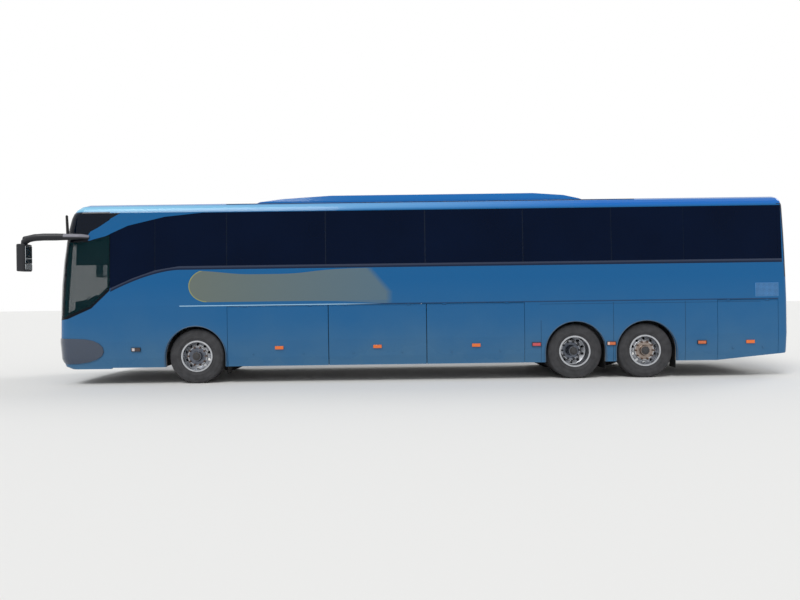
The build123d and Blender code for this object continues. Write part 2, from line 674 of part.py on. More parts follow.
cab_end = 3320.0
step_a, step_b = 1120.0, 2050.0
cab = block(at(cab_end), at(420), -inner, inner, cab_floor_z - floor_t, cab_floor_z)
cab = cut(cab, [block(at(front_axle) - house_half, at(front_axle) + house_half, s * house_y, s * (half + 50), 0, 2000)
                for s in (1, -1)])
cab = cab - block(at(step_b), at(step_a), -inner - 50, -560.0, 0, 2000)
step_y = -560.0
step_table = [(-low_inner, 330.0, 360.0), (-900.0, 360.0, 560.0), (-740.0, 560.0, 760.0),
              (-575.0, 760.0, cab_floor_z)]
steps = [block(at(step_b), at(step_a), y, step_y, z0, z1) for y, z0, z1 in step_table]
nose_room = nose_solid(wall + 6, 60)
mid_room = block(at(tail_back), at(cap_back), -inner, inner, 0, 3300)
front_houses = houses(front_axle - house_half, front_axle + house_half, house_top_z + house_t)
save("cab_floor", fuse([cab & mid_room, cab & nose_room] + steps + front_houses))

stair_a, stair_b, stair_y = 7960.0, 8930.0, 640.0
under_boards = saloon_floor_z - floor_t
board_table = [(cab_end, stair_a, -inner), (stair_a, stair_b, -stair_y + 14), (stair_b, 13560.0, -inner)]
boards = [block(at(b1), at(b0), y0, inner, under_boards, saloon_floor_z) for b0, b1, y0 in board_table]
riser_table = [(inner, house_top_z + house_t + running), (house_y - 12, cab_floor_z - floor_t)]
risers = [block(at(cab_end + 15), at(cab_end), -y, y, z0, under_boards) for y, z0 in riser_table]
stairs = [block(at(stair_b), at(stair_a), -low_inner, -stair_y, 330, 360),
          block(at(stair_b), at(stair_a), -stair_y, -stair_y + 14, 330, saloon_floor_z)]
tread_rise, tread_run = 180.0, 80.0
stairs += [block(at(stair_b), at(stair_a), tread_run * k - 1000, -stair_y, tread_rise * (k + 1), tread_rise * (k + 2))
           for k in range(1, 5)]
rear_houses = houses(drive_axle - house_half, tag_axle + house_half, saloon_floor_z - floor_t)
save("saloon_floor", [clear_of_flaps(b) for b in boards] + [fuse(risers), fuse(stairs)] + rear_houses)

tub_a, tub_b = 3345.0, 9000.0
tub = [block(at(tub_b), at(tub_a), -low_inner, low_inner, sill_z + 5, hold_floor_z)]
tub += [block(at(b + 12), at(b - 12), -low_inner, low_inner, hold_floor_z, saloon_floor_z - floor_t)
        for b in (3360, 5270, 7140, 8985)]
tub = fuse(tub) - block(at(stair_b) - 15, at(stair_a) + 15, -inner - 50, -stair_y + 15, 0, 2000)
tub_wall = block(at(stair_a - 16), at(stair_a - 30), -low_inner, -stair_y + 40, sill_z + 5, saloon_floor_z - floor_t)
save("hold_tub", fuse([tub, tub_wall]))

rail_w = 80.0
rail_in, rail_out = rail_y - rail_w / 2, rail_y + rail_w / 2
frame = []
for s in (1, -1):
    frame.append(block(at(3330), at(500), s * rail_in, s * rail_out, frame_z0, cab_floor_z - floor_t - running))
    frame.append(block(at(13900), at(9012), s * rail_in, s * rail_out, frame_z0, frame_z1))
    frame += [block(at(b + 50), at(b - 50), s * rail_in, s * rail_out, frame_z1, saloon_floor_z - floor_t - running)
              for b in (9150, 10655, 12150, 13450)]
frame += [block(at(b + 50), at(b - 50), -rail_in, rail_in, frame_z0 + 20, frame_z1 - 60)
          for b in (900, 2000, 9300, 10650, 12200, 13850)]


def tow_socket(leg0, leg1, mouth, z):
    """A towing socket under a rail, open towards the bumper."""
    inner = leg1 if mouth > leg1 else leg0
    leg = block(at(leg1), at(leg0), rail_in, rail_out, z - 40, frame_z0)
    tube = rod((at((leg0 + leg1) / 2), socket_y, z), (at(mouth), socket_y, z), 38)
    deep, shallow = (100.0, -50.0) if mouth < inner else (-90.0, 50.0)
    return leg.fuse(tube) - rod((at(mouth + deep), socket_y, z), (at(mouth + shallow), socket_y, z), socket_r)


frame.append(tow_socket(500.0, 640.0, 110.0, front_socket_z))
frame.append(tow_socket(13760.0, 13870.0, 13960.0, rear_socket_z))
save("chassis_frame", frame)

engine_half = 335.0
engine = block(at(13750), at(12450), -engine_half, engine_half, 420, 1180)
feet = [block(at(b + 60), at(b - 60), s * (engine_half - 5), s * (rail_in - running), 800, 860)
        for s in (1, -1) for b in (12700, 13500)]
save("engine", fuse([engine] + feet))

print("inside")
seat_half, seat_pitch, seat_rows, first_row, seat_y = 430.0, 800.0, 12, 3900.0, 730.0
seat_profile = [(0, 380), (430, 400), (450, 460), (90, 470), (-60, 1120), (-130, 1110), (-40, 440)]
stair_rows = (7500.0, 9300.0)
seats = []
for row in range(seat_rows):
    x = at(first_row + seat_pitch * row)
    for s in (1, -1):
        if s < 0 and stair_rows[0] < first_row + seat_pitch * row < stair_rows[1]:
            continue
        face = make_face(Polyline(*[(x + px, saloon_floor_z + pz) for px, pz in seat_profile], close=True))
        bench = Pos(0, s * seat_y + seat_half, 0) * extrude(Plane.XZ * face, seat_half * 2)
        leg = block(x + 60, x + 300, s * seat_y - 30, s * seat_y + 30, saloon_floor_z + running, saloon_floor_z + 400)
        seats.append(bench.fuse(leg))
save("passenger_seats", seats)

rack_z, rack_t, rack_in = 2960.0, 50.0, 820.0
rack_front, rack_back, hanger_pitch, hanger_y = 3400.0, 13300.0, 1900, 930.0
roof_under = shoulder_z - wall - running
racks = []
for s in (1, -1):
    rack_out = level_y(rack_z, wall) - 8
    shelf = block(at(rack_back), at(rack_front), s * rack_in, s * rack_out, rack_z, rack_z + rack_t)
    hangers = [block(at(b + 15), at(b - 15), s * hanger_y, s * (hanger_y + 30), rack_z + 40, roof_under)
               for b in range(int(rack_front) + 200, int(rack_back), hanger_pitch)]
    racks.append(fuse([shelf] + hangers))
save("luggage_racks", racks)

wheel_x, wheel_y, wheel_z = at(1150), 620.0, cab_floor_z + 760
wheel_r, grip_r = 230.0, 16.0
column_r, column_gap = 40.0, 20.3
dash_outline = [(300.0, cab_floor_z + running), (620.0, cab_floor_z + running), (700.0, 1560.0), (620.0, 1640.0),
                (330.0, 1600.0)]
dash = side_prism(dash_outline, -880, 1040)
tilt = Plane(origin=(wheel_x, wheel_y, wheel_z), z_dir=(-0.5, 0, 0.866))
ring = tilt * Torus(wheel_r, grip_r)
spokes = [tilt * (Rot(0, 0, 120 * k + 90) * Pos(wheel_r / 2, 0, 0) * Box(wheel_r, 34, 14)) for k in range(3)]
hub = tilt * Cylinder(55, 40)
save("steering_wheel", fuse([ring, hub] + spokes))
column = rod(tuple(tilt.origin - tilt.z_dir * column_gap), tuple(tilt.origin - tilt.z_dir * 900), column_r)
column = column & block(at(1600), at(600), 400, 900, cab_floor_z + running, 2200)
save("dashboard", fuse([dash, column]))

seat_x = at(1750)
cushion_low, cushion_high = cab_floor_z + 400, cab_floor_z + 520
driver = [block(seat_x - 250, seat_x + 250, wheel_y - 240, wheel_y + 240, cushion_low, cushion_high),
          Pos(seat_x - 260, wheel_y, cab_floor_z + 860) * Rot(0, -12, 0) * Box(110, 480, 800),
          block(seat_x - 150, seat_x + 150, wheel_y - 130, wheel_y + 130, cab_floor_z + running, cushion_low)]
save("driver_seat", fuse(driver))

print("lamps and mirrors")
lamp_t = 14.0
lamp_front = [(640, 770), (720, 690), (900, 600), (1080, 500), (1340, 390), (1400, 900), (1100, 895), (860, 865),
              (700, 825)]
lamp_side = [(-200.0, 300.0), (250.0, 405.0), (500.0, 412.0), (700.0, 440.0), (850.0, 490.0), (950.0, 560.0),
             (985.0, 640.0), (970.0, 720.0), (900.0, 795.0), (790.0, 850.0), (640.0, 880.0), (450.0, 890.0),
             (-200.0, 910.0)]
lamp_face = Plane.YZ * make_face(Spline(*lamp_front, periodic=True))
front_lamp = Pos(at(cap_back), 0, 0) * extrude(lamp_face, cap_back + 200) & (nose_solid(-lamp_t) - nose_out)
front_lamp = front_lamp & side_prism(lamp_side, 0.0, half + 100)
save("headlamps", [front_lamp, mirrored(front_lamp)])
rear_skin = tail_solid(-lamp_t) - tail_out
rear_lamps = [rear_skin & block(rear_x - 20, rear_x + 200, s * 930, s * 1190, 820, 1360) for s in (1, -1)]
save("tail_lamps", rear_lamps)

marker_backs = [1600.0, 4330.0, 6200.0, 8080.0, 9230.0, 10655.0, 12380.0, 13300.0]
marker_half, marker_t, marker_z0, marker_z1 = 80.0, 12.0, 640.0, 704.0
markers = []
for s in (1, -1):
    taken = [(a, e) for _, a, e, _, fs in flap_table if fs == s]
    taken += [(a, e) for _, a, e, _, _, _ in door_table if s < 0]
    for b in marker_backs:
        if not any(a - marker_half < b < e + marker_half for a, e in taken):
            markers.append(wall_strip(-marker_t, -running, marker_z0, marker_z1, b - marker_half, b + marker_half, s))
save("side_markers", markers)

mirror_y = half + 135.0
mirror_x = nose_x + mirror_reach - 85
arm_tube = 42.0
head = block(mirror_x - 85, mirror_x + 85, mirror_y - 130, mirror_y + 130, 2180, 2690)
head = fillet(head.edges().filter_by(Axis.Z), 50)
head = chamfer(head.edges().filter_by(Plane.XY), 14)
arm_points = [(at(700), half - 60, 2820), (at(560), half + 20, 2830), (nose_x + 200, mirror_y, 2840),
              (mirror_x - 20, mirror_y, 2800), (mirror_x, mirror_y, 2680)]
arm = fuse([rod(p, q, arm_tube) for p, q in zip(arm_points, arm_points[1:])]
           + [Pos(*p) * Sphere(arm_tube) for p in arm_points[1:-1]])
mirror = cut(fuse([head, arm]), [nose_out])
mirror = max(mirror.solids(), key=lambda s: s.volume)
save("mirrors", [mirror, mirrored(mirror)])

mud_out, mud_low, mud_hang, mud_top = 1165.0, 180.0, 560.0, 640.0
mud_flaps = []
for b, mud_in in ((front_axle, 920.0), (drive_axle, 600.0), (tag_axle, 920.0)):
    x0, x1 = at(b + house_half - running), at(b + house_half - 10)
    for s in (1, -1):
        sheet = block(x0, x1, s * mud_in, s * mud_out, mud_low, mud_top)
        arm = block(x0, x1, s * (mud_out - 5), s * (level_y(mud_hang, wall) - running), mud_hang, mud_top)
        mud_flaps.append(sheet.fuse(arm))
save("mud_flaps", mud_flaps)
print("done")
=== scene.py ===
import math
import bmesh
import bpy
from mathutils import Matrix, Vector
from mathutils.bvhtree import BVHTree


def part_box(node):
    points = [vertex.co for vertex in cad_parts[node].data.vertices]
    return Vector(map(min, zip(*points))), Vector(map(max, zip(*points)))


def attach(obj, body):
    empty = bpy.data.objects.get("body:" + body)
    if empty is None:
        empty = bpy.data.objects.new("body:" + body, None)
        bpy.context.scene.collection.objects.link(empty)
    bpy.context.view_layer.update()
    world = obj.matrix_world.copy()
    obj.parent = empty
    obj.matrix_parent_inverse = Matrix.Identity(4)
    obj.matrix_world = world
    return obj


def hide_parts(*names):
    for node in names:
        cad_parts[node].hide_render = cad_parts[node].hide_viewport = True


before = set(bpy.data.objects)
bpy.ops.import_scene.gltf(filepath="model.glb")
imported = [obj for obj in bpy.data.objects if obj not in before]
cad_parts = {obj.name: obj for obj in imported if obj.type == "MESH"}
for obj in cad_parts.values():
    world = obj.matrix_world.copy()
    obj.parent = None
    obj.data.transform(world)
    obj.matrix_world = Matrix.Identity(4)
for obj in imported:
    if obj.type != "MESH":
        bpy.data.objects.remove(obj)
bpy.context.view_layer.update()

scene = bpy.context.scene
print("frame loaded")

# places along the coach are metres behind the nose tip
axles = {"front": 2.73, "drive": 9.98, "tag": 11.33}
axleHeight = 0.522
noseX = sum(c.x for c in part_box("front_left_tyre")) / 2 + axles["front"]
bodyHalf = 1.275
sides = (1, -1)
crisp, rounded = 30, 60


def at(back):
    # x of a place behind the nose
    return noseX - back


def around(middle, half):
    return middle - half, middle + half


def spots(places, side=1):
    return [Vector((at(back), side * y, z)) for back, y, z in places]


def feed(tree, socket, value):
    # a field or a socket is linked, and anything else is the socket's own value
    if isinstance(value, Field):
        value = value.socket
    if isinstance(value, bpy.types.NodeSocket):
        tree.links.new(value, socket)
    elif socket.type == "RGBA":
        socket.default_value = (*value, 1)
    else:
        socket.default_value = value


def addNode(tree, kind, settings, inputs):
    made = tree.nodes.new(kind)
    for key, value in settings.items():
        setattr(made, key, value)
    for key, value in inputs.items():
        feed(tree, made.inputs[key], value)
    return made


class Field:
    # a shader socket that takes part in sums
    def __init__(self, paint, socket):
        self.paint, self.socket = paint, socket

    def apply(self, operation, other=0.0, flip=False, clamp=False):
        first, second = (other, self) if flip else (self, other)
        settings = {"operation": operation, "use_clamp": clamp}
        return self.paint.node("ShaderNodeMath", settings, {0: first, 1: second})

    def __abs__(self):
        return self.apply("ABSOLUTE")

    def clamped(self, shift=0.0):
        return self.apply("ADD", shift, clamp=True)

    def above(self, level, soft=0.004):
        # 0 below the level, 1 above it, with a soft edge
        return ((self - level) / soft).clamped(0.5)

    def below(self, level, soft=0.004):
        return 1 - self.above(level, soft)

    def between(self, low, high):
        return self.above(low) * self.below(high)

    def near(self, place, reach, soft=0.004):
        return abs(self - place).below(reach, soft)


def overload(operation, flip=False):
    return lambda field, other: field.apply(operation, other, flip)


for word, operation in (("add", "ADD"), ("sub", "SUBTRACT"), ("mul", "MULTIPLY"), ("truediv", "DIVIDE"),
                        ("pow", "POWER")):
    setattr(Field, f"__{word}__", overload(operation))
    setattr(Field, f"__r{word}__", overload(operation, True))
Field.least, Field.most = overload("MINIMUM"), overload("MAXIMUM")

socketNames = {"colour": "Base Color", "rough": "Roughness", "metallic": "Metallic", "alpha": "Alpha",
               "specular": "Specular IOR Level", "coat": "Coat Weight", "coatRough": "Coat Roughness",
               "sheen": "Sheen Weight", "glow": "Emission Strength", "glowColour": "Emission Color",
               "normal": "Normal"}


class Paint:
    def __init__(self, name, **sockets):
        self.material = bpy.data.materials.new(name)
        self.material.use_nodes = True
        self.tree = self.material.node_tree
        self.spot = self.node("ShaderNodeTexCoord", {}, {}, "Object")
        self.set(**sockets)

    def node(self, kind, settings, inputs, out=0):
        return Field(self, addNode(self.tree, kind, settings, inputs).outputs[out])

    def place(self):
        # metres behind the nose, out from the middle and above the floor: every piece is at the origin
        outs = self.node("ShaderNodeSeparateXYZ", {}, {0: self.spot}).socket.node.outputs
        x, y, z = [Field(self, out) for out in outs]
        return noseX - x, abs(y), z

    def noise(self, scale, detail=2.0):
        return self.node("ShaderNodeTexNoise", {}, {"Vector": self.spot, "Scale": scale, "Detail": detail})

    def bands(self, direction, scale, distortion=0.0):
        settings = {"wave_type": "BANDS", "bands_direction": direction}
        inputs = {"Vector": self.spot, "Scale": scale, "Distortion": distortion}
        return self.node("ShaderNodeTexWave", settings, inputs, "Fac")

    def mix(self, share, first, second):
        return self.node("ShaderNodeMix", {"data_type": "RGBA"}, {0: share, 6: first, 7: second}, 2)

    def set(self, **sockets):
        for key, value in sockets.items():
            feed(self.tree, self.tree.nodes["Principled BSDF"].inputs[socketNames[key]], value)

    def bump(self, height, strength, distance):
        inputs = {"Strength": strength, "Distance": distance, "Height": height}
        self.set(normal=self.node("ShaderNodeBump", {}, inputs))


def tint(red, green, blue):
    # screen colour 0-255 to the shader's linear one
    shares = [c / 255 for c in (red, green, blue)]
    return tuple(c / 12.92 if c <= 10 / 255 else ((c + 0.055) / 1.055) ** 2.4 for c in shares)


# camera, light and floor
photoView = {"back": 6.64, "fromSide": 11.0, "height": 1.55, "lens": 26.0, "roll": -0.76, "clipEnd": 500}
studio = {"worldFill": 0.62, "suns": {"softSun": (1.35, (38, 0, 150)), "rimSun": (0.55, (52, 0, -60))},
          "sunSpread": 24, "floorHalf": 130.0, "floorTint": (0.80, 0.80, 0.79)}


def makeCamera():
    v = photoView
    data = bpy.data.cameras.new("photoCamera")
    data.lens, data.clip_end = v["lens"], v["clipEnd"]
    camera = bpy.data.objects.new("photoCamera", data)
    scene.collection.objects.link(camera)
    place = Matrix.Translation((at(v["back"]), bodyHalf + v["fromSide"], v["height"]))
    facing = Matrix.Rotation(math.pi, 4, "Z") @ Matrix.Rotation(math.pi / 2, 4, "X")
    camera.matrix_world = place @ facing @ Matrix.Rotation(math.radians(v["roll"]), 4, "Z")
    scene.camera = camera


def makeStudio():
    world = bpy.data.worlds.new("studioWorld")
    scene.world = world
    world.use_nodes = True
    tree = world.node_tree
    path = addNode(tree, "ShaderNodeLightPath", {}, {}).outputs

    def most(first, second):
        return addNode(tree, "ShaderNodeMath", {"operation": "MAXIMUM"}, {0: first, 1: second}).outputs[0]
    # the backdrop is white where it is seen, and gives less light than that
    seen = most(path["Is Camera Ray"], most(path["Is Glossy Ray"], path["Is Transmission Ray"]))
    levels = {"Value": seen, "To Min": studio["worldFill"], "To Max": 1.0}
    level = addNode(tree, "ShaderNodeMapRange", {}, levels).outputs[0]
    feed(tree, tree.nodes["Background"].inputs["Strength"], level)
    feed(tree, tree.nodes["Background"].inputs["Color"], (1, 1, 1))
    for name, (power, tilt) in studio["suns"].items():
        lamp = bpy.data.lights.new(name, "SUN")
        lamp.energy, lamp.angle = power, math.radians(studio["sunSpread"])
        obj = bpy.data.objects.new(name, lamp)
        obj.rotation_euler = [math.radians(a) for a in tilt]
        scene.collection.objects.link(obj)
    half = studio["floorHalf"]
    mesh = bpy.data.meshes.new("studioFloor")
    mesh.from_pydata([(-half, -half, 0), (half, -half, 0), (half, half, 0), (-half, half, 0)], [], [range(4)])
    floor = bpy.data.objects.new("studioFloor", mesh)
    scene.collection.objects.link(floor)
    mesh.materials.append(Paint("paperFloor", specular=0.1, rough=0.9, colour=studio["floorTint"]).material)
    scene.view_settings.view_transform = "Standard"


# the body's paint: places are metres behind the nose and above the ground
cove = {"low": 3.31, "high": 3.43, "inner": 1.06, "paleUntil": 1.5, "paleFall": 9.0}
dustPlace = {"low": 1.15, "fade": 1.6, "sill": 0.75, "sillFade": 0.9}
patch = {"start": 2.61, "endRadius": 0.36, "bottom": 1.557, "top": 2.178, "dipAt": 4.11, "dipWidth": 0.95,
         "dip": 0.1, "slantTop": 6.05, "slant": 0.85, "end": 6.44, "fade": 0.14, "fallFrom": 4.7,
         "fall": 0.075}
strip = {"drop": 0.07, "rise": 0.12, "high": 2.5, "front": 1.12, "kneeBack": 2.43, "kneeTop": 2.25,
         "frontRise": 0.259, "frontCurve": 1.638, "back": 13.935}
wing = {"front": 0.4, "back": 1.107, "z": 3.17, "slope": 0.55}
seam = {"wide": 0.004, "places": ((9.32, 1.13), (10.70, 1.462), (12.07, 1.462)), "depth": 0.75}
secondSeam = {"z": 1.436, "wide": 0.004, "front": 9.3, "back": 13.5, "depth": 0.6}
skin = {"flank": 1.1, "thick": 0.004, "lean": 0.0308, "leanFrom": 1.5, "glassLow": 1.9, "glassHigh": 3.31}
lining = {"depth": 0.042, "wallTop": 3.25, "ceiling": 3.415, "ceilingHalf": 1.0, "front": 1.16, "back": 13.8}
screenTints = {"body": (8, 92, 148), "dust": (76, 116, 146), "roof": (10, 104, 176), "cream": (104, 114, 108),
               "coveFront": (132, 196, 228), "coveRear": (18, 104, 190), "haze": (86, 112, 128),
               "rim": (144, 148, 98), "strip": (46, 56, 78), "stripLow": (4, 28, 58), "wing": (6, 12, 22),
               "seam": (6, 20, 44), "under": (14, 32, 54), "lining": (128, 130, 132)}
tints = {name: tint(*colour) for name, colour in screenTints.items()}


def addPatch(paint, colour, back, z, flank):
    p = patch
    offDip = (back - p["dipAt"]) / p["dipWidth"]
    squared = offDip * offDip
    top = p["top"] - 1 / (1 + squared * squared) * p["dip"]
    fall = ((back - p["fallFrom"]) / (p["end"] - p["fallFrom"])).most(0)
    low = p["bottom"] - fall * fall * p["fall"]
    ahead = ((p["start"] + p["endRadius"] - back) / p["endRadius"]).most(0)
    up = (z - (p["top"] + p["bottom"]) / 2) / ((p["top"] - p["bottom"]) / 2)
    roundEnd = ahead * ahead + up * up
    slant = (p["slantTop"] + (p["top"] - z) * p["slant"]).least(p["end"])
    inside = (z - low).above(0) * (z - top).below(0) * (back - slant).below(0, p["fade"]) * flank
    inside = (1 - roundEnd.above(1.0, 0.02) * ahead.above(0.001)) * inside
    rim = roundEnd.above(0.9, 0.02) * ahead.above(0.05) * inside
    # the patch turns bluer towards its rear end
    haze = ((back - p["start"]) / (p["end"] - p["start"])).clamped()
    colour = paint.mix(inside, colour, paint.mix(haze, tints["cream"], tints["haze"]))
    return paint.mix(rim, colour, tints["rim"])


def addLines(paint, colour, back, z, flank):
    # the dark strip under the side glass follows the dip in front of the knee
    toKnee = (strip["kneeBack"] - back).most(0)
    lineTop = strip["kneeTop"] - toKnee ** strip["frontCurve"] * strip["frontRise"]
    over = z - lineTop
    onStrip = over.between(-strip["drop"], strip["rise"]) * z.below(strip["high"]) * flank
    onStrip = onStrip * back.between(strip["front"], strip["back"])
    lowHalf = (lineTop - z).above(strip["drop"] / 2, 0.01)
    colour = paint.mix(onStrip, colour, paint.mix(lowHalf, tints["strip"], tints["stripLow"]))
    # the black band over the windscreen ends in a slant on the wall
    overSlant = z - (wing["z"] + (back - wing["back"]) * wing["slope"])
    onWing = overSlant.above(0) * back.above(wing["front"]) * z.below(cove["low"]) * flank
    colour = paint.mix(onWing, colour, tints["wing"])
    for place, seamTop in seam["places"]:
        line = back.near(place, seam["wide"]) * z.below(seamTop) * flank
        colour = paint.mix(line * seam["depth"], colour, tints["seam"])
    # behind the hold a second line runs under the waist
    second = z.near(secondSeam["z"], secondSeam["wide"]) * flank
    second = second * back.between(secondSeam["front"], secondSeam["back"])
    return paint.mix(second * secondSeam["depth"], colour, tints["seam"])


def makeBodyPaint(name, onWalls=True):
    paint = Paint(name, specular=0.14, coat=0.14, coatRough=0.05)
    back, across, z = paint.place()
    d = dustPlace
    cloudy = z.below(d["low"], d["fade"]) * (paint.noise(1.3, 4.0) * 0.7 + 0.14)
    dust = cloudy + z.below(d["sill"], d["sillFade"]) * 0.2
    colour = paint.mix(dust, tints["body"], tints["dust"])
    # above the cove the paint is a lighter blue than the walls: a painted highlight where the top faces the
    # sky
    colour = paint.mix(z.above(cove["low"], 0.05), colour, tints["roof"])
    # the cove band is painted pale blue, a painted sky reflection that is palest at the front and fades
    # towards the rear
    pale = ((back - cove["paleUntil"]) / cove["paleFall"]).clamped()
    onCove = z.above(cove["low"], 0.06) * z.below(cove["high"], 0.05) * across.above(cove["inner"], 0.16)
    colour = paint.mix(onCove, colour, paint.mix(pale, tints["coveFront"], tints["coveRear"]))
    if onWalls:
        flank = across.above(skin["flank"])
        colour = addPatch(paint, colour, back, z, flank)
        colour = addLines(paint, colour, back, z, flank)
        # the wall under the skin shows black between the panes
        depth = bodyHalf - skin["thick"] - (z - skin["leanFrom"]).most(0) * skin["lean"] - across
        under = depth.above(0, 0.001) * z.between(skin["glassLow"], skin["glassHigh"]) * flank
        colour = paint.mix(under, colour, tints["under"])
        lined = depth.above(lining["depth"], 0.002) * z.below(lining["wallTop"]) * flank
    else:
        lined = z.below(lining["ceiling"]) * across.below(lining["ceilingHalf"])
    # the inner faces are lined in grey
    lined = lined * back.between(lining["front"], lining["back"])
    paint.set(colour=paint.mix(lined, colour, tints["lining"]), rough=0.14 + dust * 0.22)
    paint.bump(paint.noise(160), 0.02, 0.0004)
    return paint


mouldingGlare = {"until": 5.9, "fade": 0.8}


def makeMoulding():
    # the moulding is painted bright over the patch, a painted sky reflection, and dull dark blue behind it
    paint = Paint("waistMoulding", specular=0.3)
    dull = paint.place()[0].above(mouldingGlare["until"], mouldingGlare["fade"])
    paint.set(colour=paint.mix(dull, tint(150, 192, 222), tint(16, 62, 104)))
    paint.set(rough=0.3 + paint.noise(4.0) * 0.1)
    return paint


def makePlain(name, colour, rough, spread=0.06, grain=0.0, grainSize=300, **more):
    # one colour with a little unevenness, and grain where the finish has it
    paint = Paint(name, **more)
    uneven = paint.noise(5.0, 3.0)
    dark, light = [tuple(c * share for c in tint(*colour)) for share in (1 - spread * 3, 1 + spread)]
    paint.set(colour=paint.mix(uneven, dark, light), rough=rough - 0.04 + uneven * 0.08)
    if grain:
        paint.bump(paint.noise(grainSize, 3.0), grain, 0.001)
    return paint


def startGlass(name, specular):
    paint = Paint(name, specular=specular)
    film = paint.noise(0.8, 3.0)
    paint.set(rough=0.03 + film * 0.03)
    return paint, film


def makeDoorGlass():
    paint, film = startGlass("clearGlass", 0.2)
    colour = tint(20, 40, 48)
    paint.set(colour=paint.mix(film, colour, tuple(c * 1.5 for c in colour)), alpha=0.5)
    return paint


quarterLight = {"until": 1.11, "clear": 0.55, "dark": 0.98}


def makeSideGlass():
    # the driver's quarter light is clear, and the saloon's panes nearly black
    paint, film = startGlass("sideGlass", 0.05)
    q = quarterLight
    dark = paint.place()[0].above(q["until"], 0.01)
    saloon = paint.mix(film, tint(0, 10, 32), tint(2, 19, 48))
    paint.set(colour=paint.mix(dark, tint(14, 44, 50), saloon),
              alpha=dark * (q["dark"] - q["clear"]) + q["clear"])
    return paint


screenShade = {"from": 2.74, "soft": 0.12, "top": 0.93, "clear": 0.3}


def makeScreenGlass():
    # clear for the driver, with a dark band along the top
    paint = startGlass("screenGlass", 0.16)[0]
    s = screenShade
    shade = paint.place()[2].above(s["from"], s["soft"])
    paint.set(colour=paint.mix(shade, tint(18, 36, 46), tint(3, 14, 30)),
              alpha=shade * (s["top"] - s["clear"]) + s["clear"])
    return paint


def makeFabric():
    paint = Paint("seatMoquette", specular=0.15, sheen=0.35)
    weave = paint.bands("DIAGONAL", 60.0, 2.0)
    fleck = paint.noise(70, 3.0).above(0.58, 0.05)
    colour = paint.mix(weave * 0.4, tint(34, 44, 72), tint(22, 30, 54))
    paint.set(colour=paint.mix(fleck * 0.7, colour, tint(120, 100, 66)), rough=0.85 + weave * 0.1)
    paint.bump(weave, 0.25, 0.001)
    return paint


def makeRubber(name, colour, rough):
    paint = Paint(name, specular=0.3)
    dust = paint.noise(9.0, 4.0)
    clean = tint(*colour)
    dusty = tuple(c * 1.7 + 0.006 for c in clean)
    paint.set(colour=paint.mix(dust.above(0.5, 0.5), clean, dusty), rough=rough + dust * 0.12)
    paint.bump(paint.noise(420), 0.12, 0.0008)
    return paint


nutRing = {"reach": 0.172, "soft": 0.02}


def makePolished():
    # the discs are darker and rougher round the nuts: grey in front and on the drive axle, tan behind
    paint = Paint("polishedAlloy", metallic=1.0)
    back, across, z = paint.place()
    front, drive, tag = axles.values()
    onTag = back.above((drive + tag) / 2)
    hubBack = back.above((front + drive) / 2) * (drive - front) + front
    fromHub = back - hubBack - onTag * (tag - drive)
    up = z - axleHeight
    dull = ((fromHub * fromHub + up * up) ** 0.5).below(nutRing["reach"], nutRing["soft"])
    smear = paint.noise(14, 4.0)
    bright = paint.mix(smear, tint(206, 208, 212), tint(164, 166, 170))
    nutRingTint = paint.mix(onTag, tint(84, 90, 102), tint(150, 134, 122))
    paint.set(colour=paint.mix(dull * (0.75 + smear * 0.25), bright, nutRingTint),
              rough=0.3 + smear * 0.16 + dull * 0.05)
    return paint


def makeLens(name, colour, deep, glow):
    # ribbed lens: the ribs run across the lamp
    paint = Paint(name, specular=0.5, coat=0.6, coatRough=0.03, glow=glow, glowColour=tint(*colour))
    ribs = paint.bands("X", 40.0)
    paint.set(colour=paint.mix(ribs, tint(*colour), tint(*deep)), rough=0.12 + ribs * 0.06)
    paint.bump(ribs, 0.3, 0.002)
    return paint


headlamp = {"domes": ((0.80, 0.762, 0.062), (0.965, 0.745, 0.078), (1.125, 0.72, 0.068)), "edge": 0.01,
            "amberInside": 0.70}


def makeHeadlampPaint():
    paint = Paint("headlampCover", coat=1.0, coatRough=0.02, specular=0.5)
    back, across, z = paint.place()
    colour = paint.mix(paint.noise(2.0), tint(22, 42, 66), tint(32, 54, 80))
    shine = 0.0
    for domeY, domeZ, radius in headlamp["domes"]:
        out, up = across - domeY, z - domeZ
        offset = (out * out + up * up) ** 0.5
        lens = offset.below(radius - headlamp["edge"])
        ring = offset.between(radius - headlamp["edge"], radius)
        colour = paint.mix(lens, colour, tint(150, 160, 170))
        colour = paint.mix(ring, colour, tint(226, 228, 230))
        shine = lens + ring + shine
    colour = paint.mix(across.below(headlamp["amberInside"], 0.006), colour, tint(206, 130, 60))
    paint.set(colour=colour, metallic=shine.least(1.0) * 0.6, rough=0.12 + shine * 0.04)
    return paint


tailLamp = {"amberFrom": 1.20, "clearBelow": 0.93, "edge": 0.006, "ribs": 314.0}


def makeTailLampPaint():
    paint = Paint("tailLampCover", coat=0.8, coatRough=0.03, specular=0.5)
    t = tailLamp
    z = paint.place()[2]
    colour = paint.mix(z.above(t["amberFrom"], t["edge"]), tint(176, 18, 24), tint(222, 120, 36))
    colour = paint.mix(z.below(t["clearBelow"], t["edge"]), colour, tint(206, 206, 206))
    ribs = (z * t["ribs"]).apply("SINE")
    paint.set(colour=colour, rough=0.14 + ribs * 0.03)
    paint.bump(ribs, 0.25, 0.002)
    return paint


marker = {"front": 1.6, "rear": 9.23, "wide": 10.655, "paleUntil": 10.62, "reach": 0.2, "whiteUntil": 1.575,
          "ribs": 628.0}


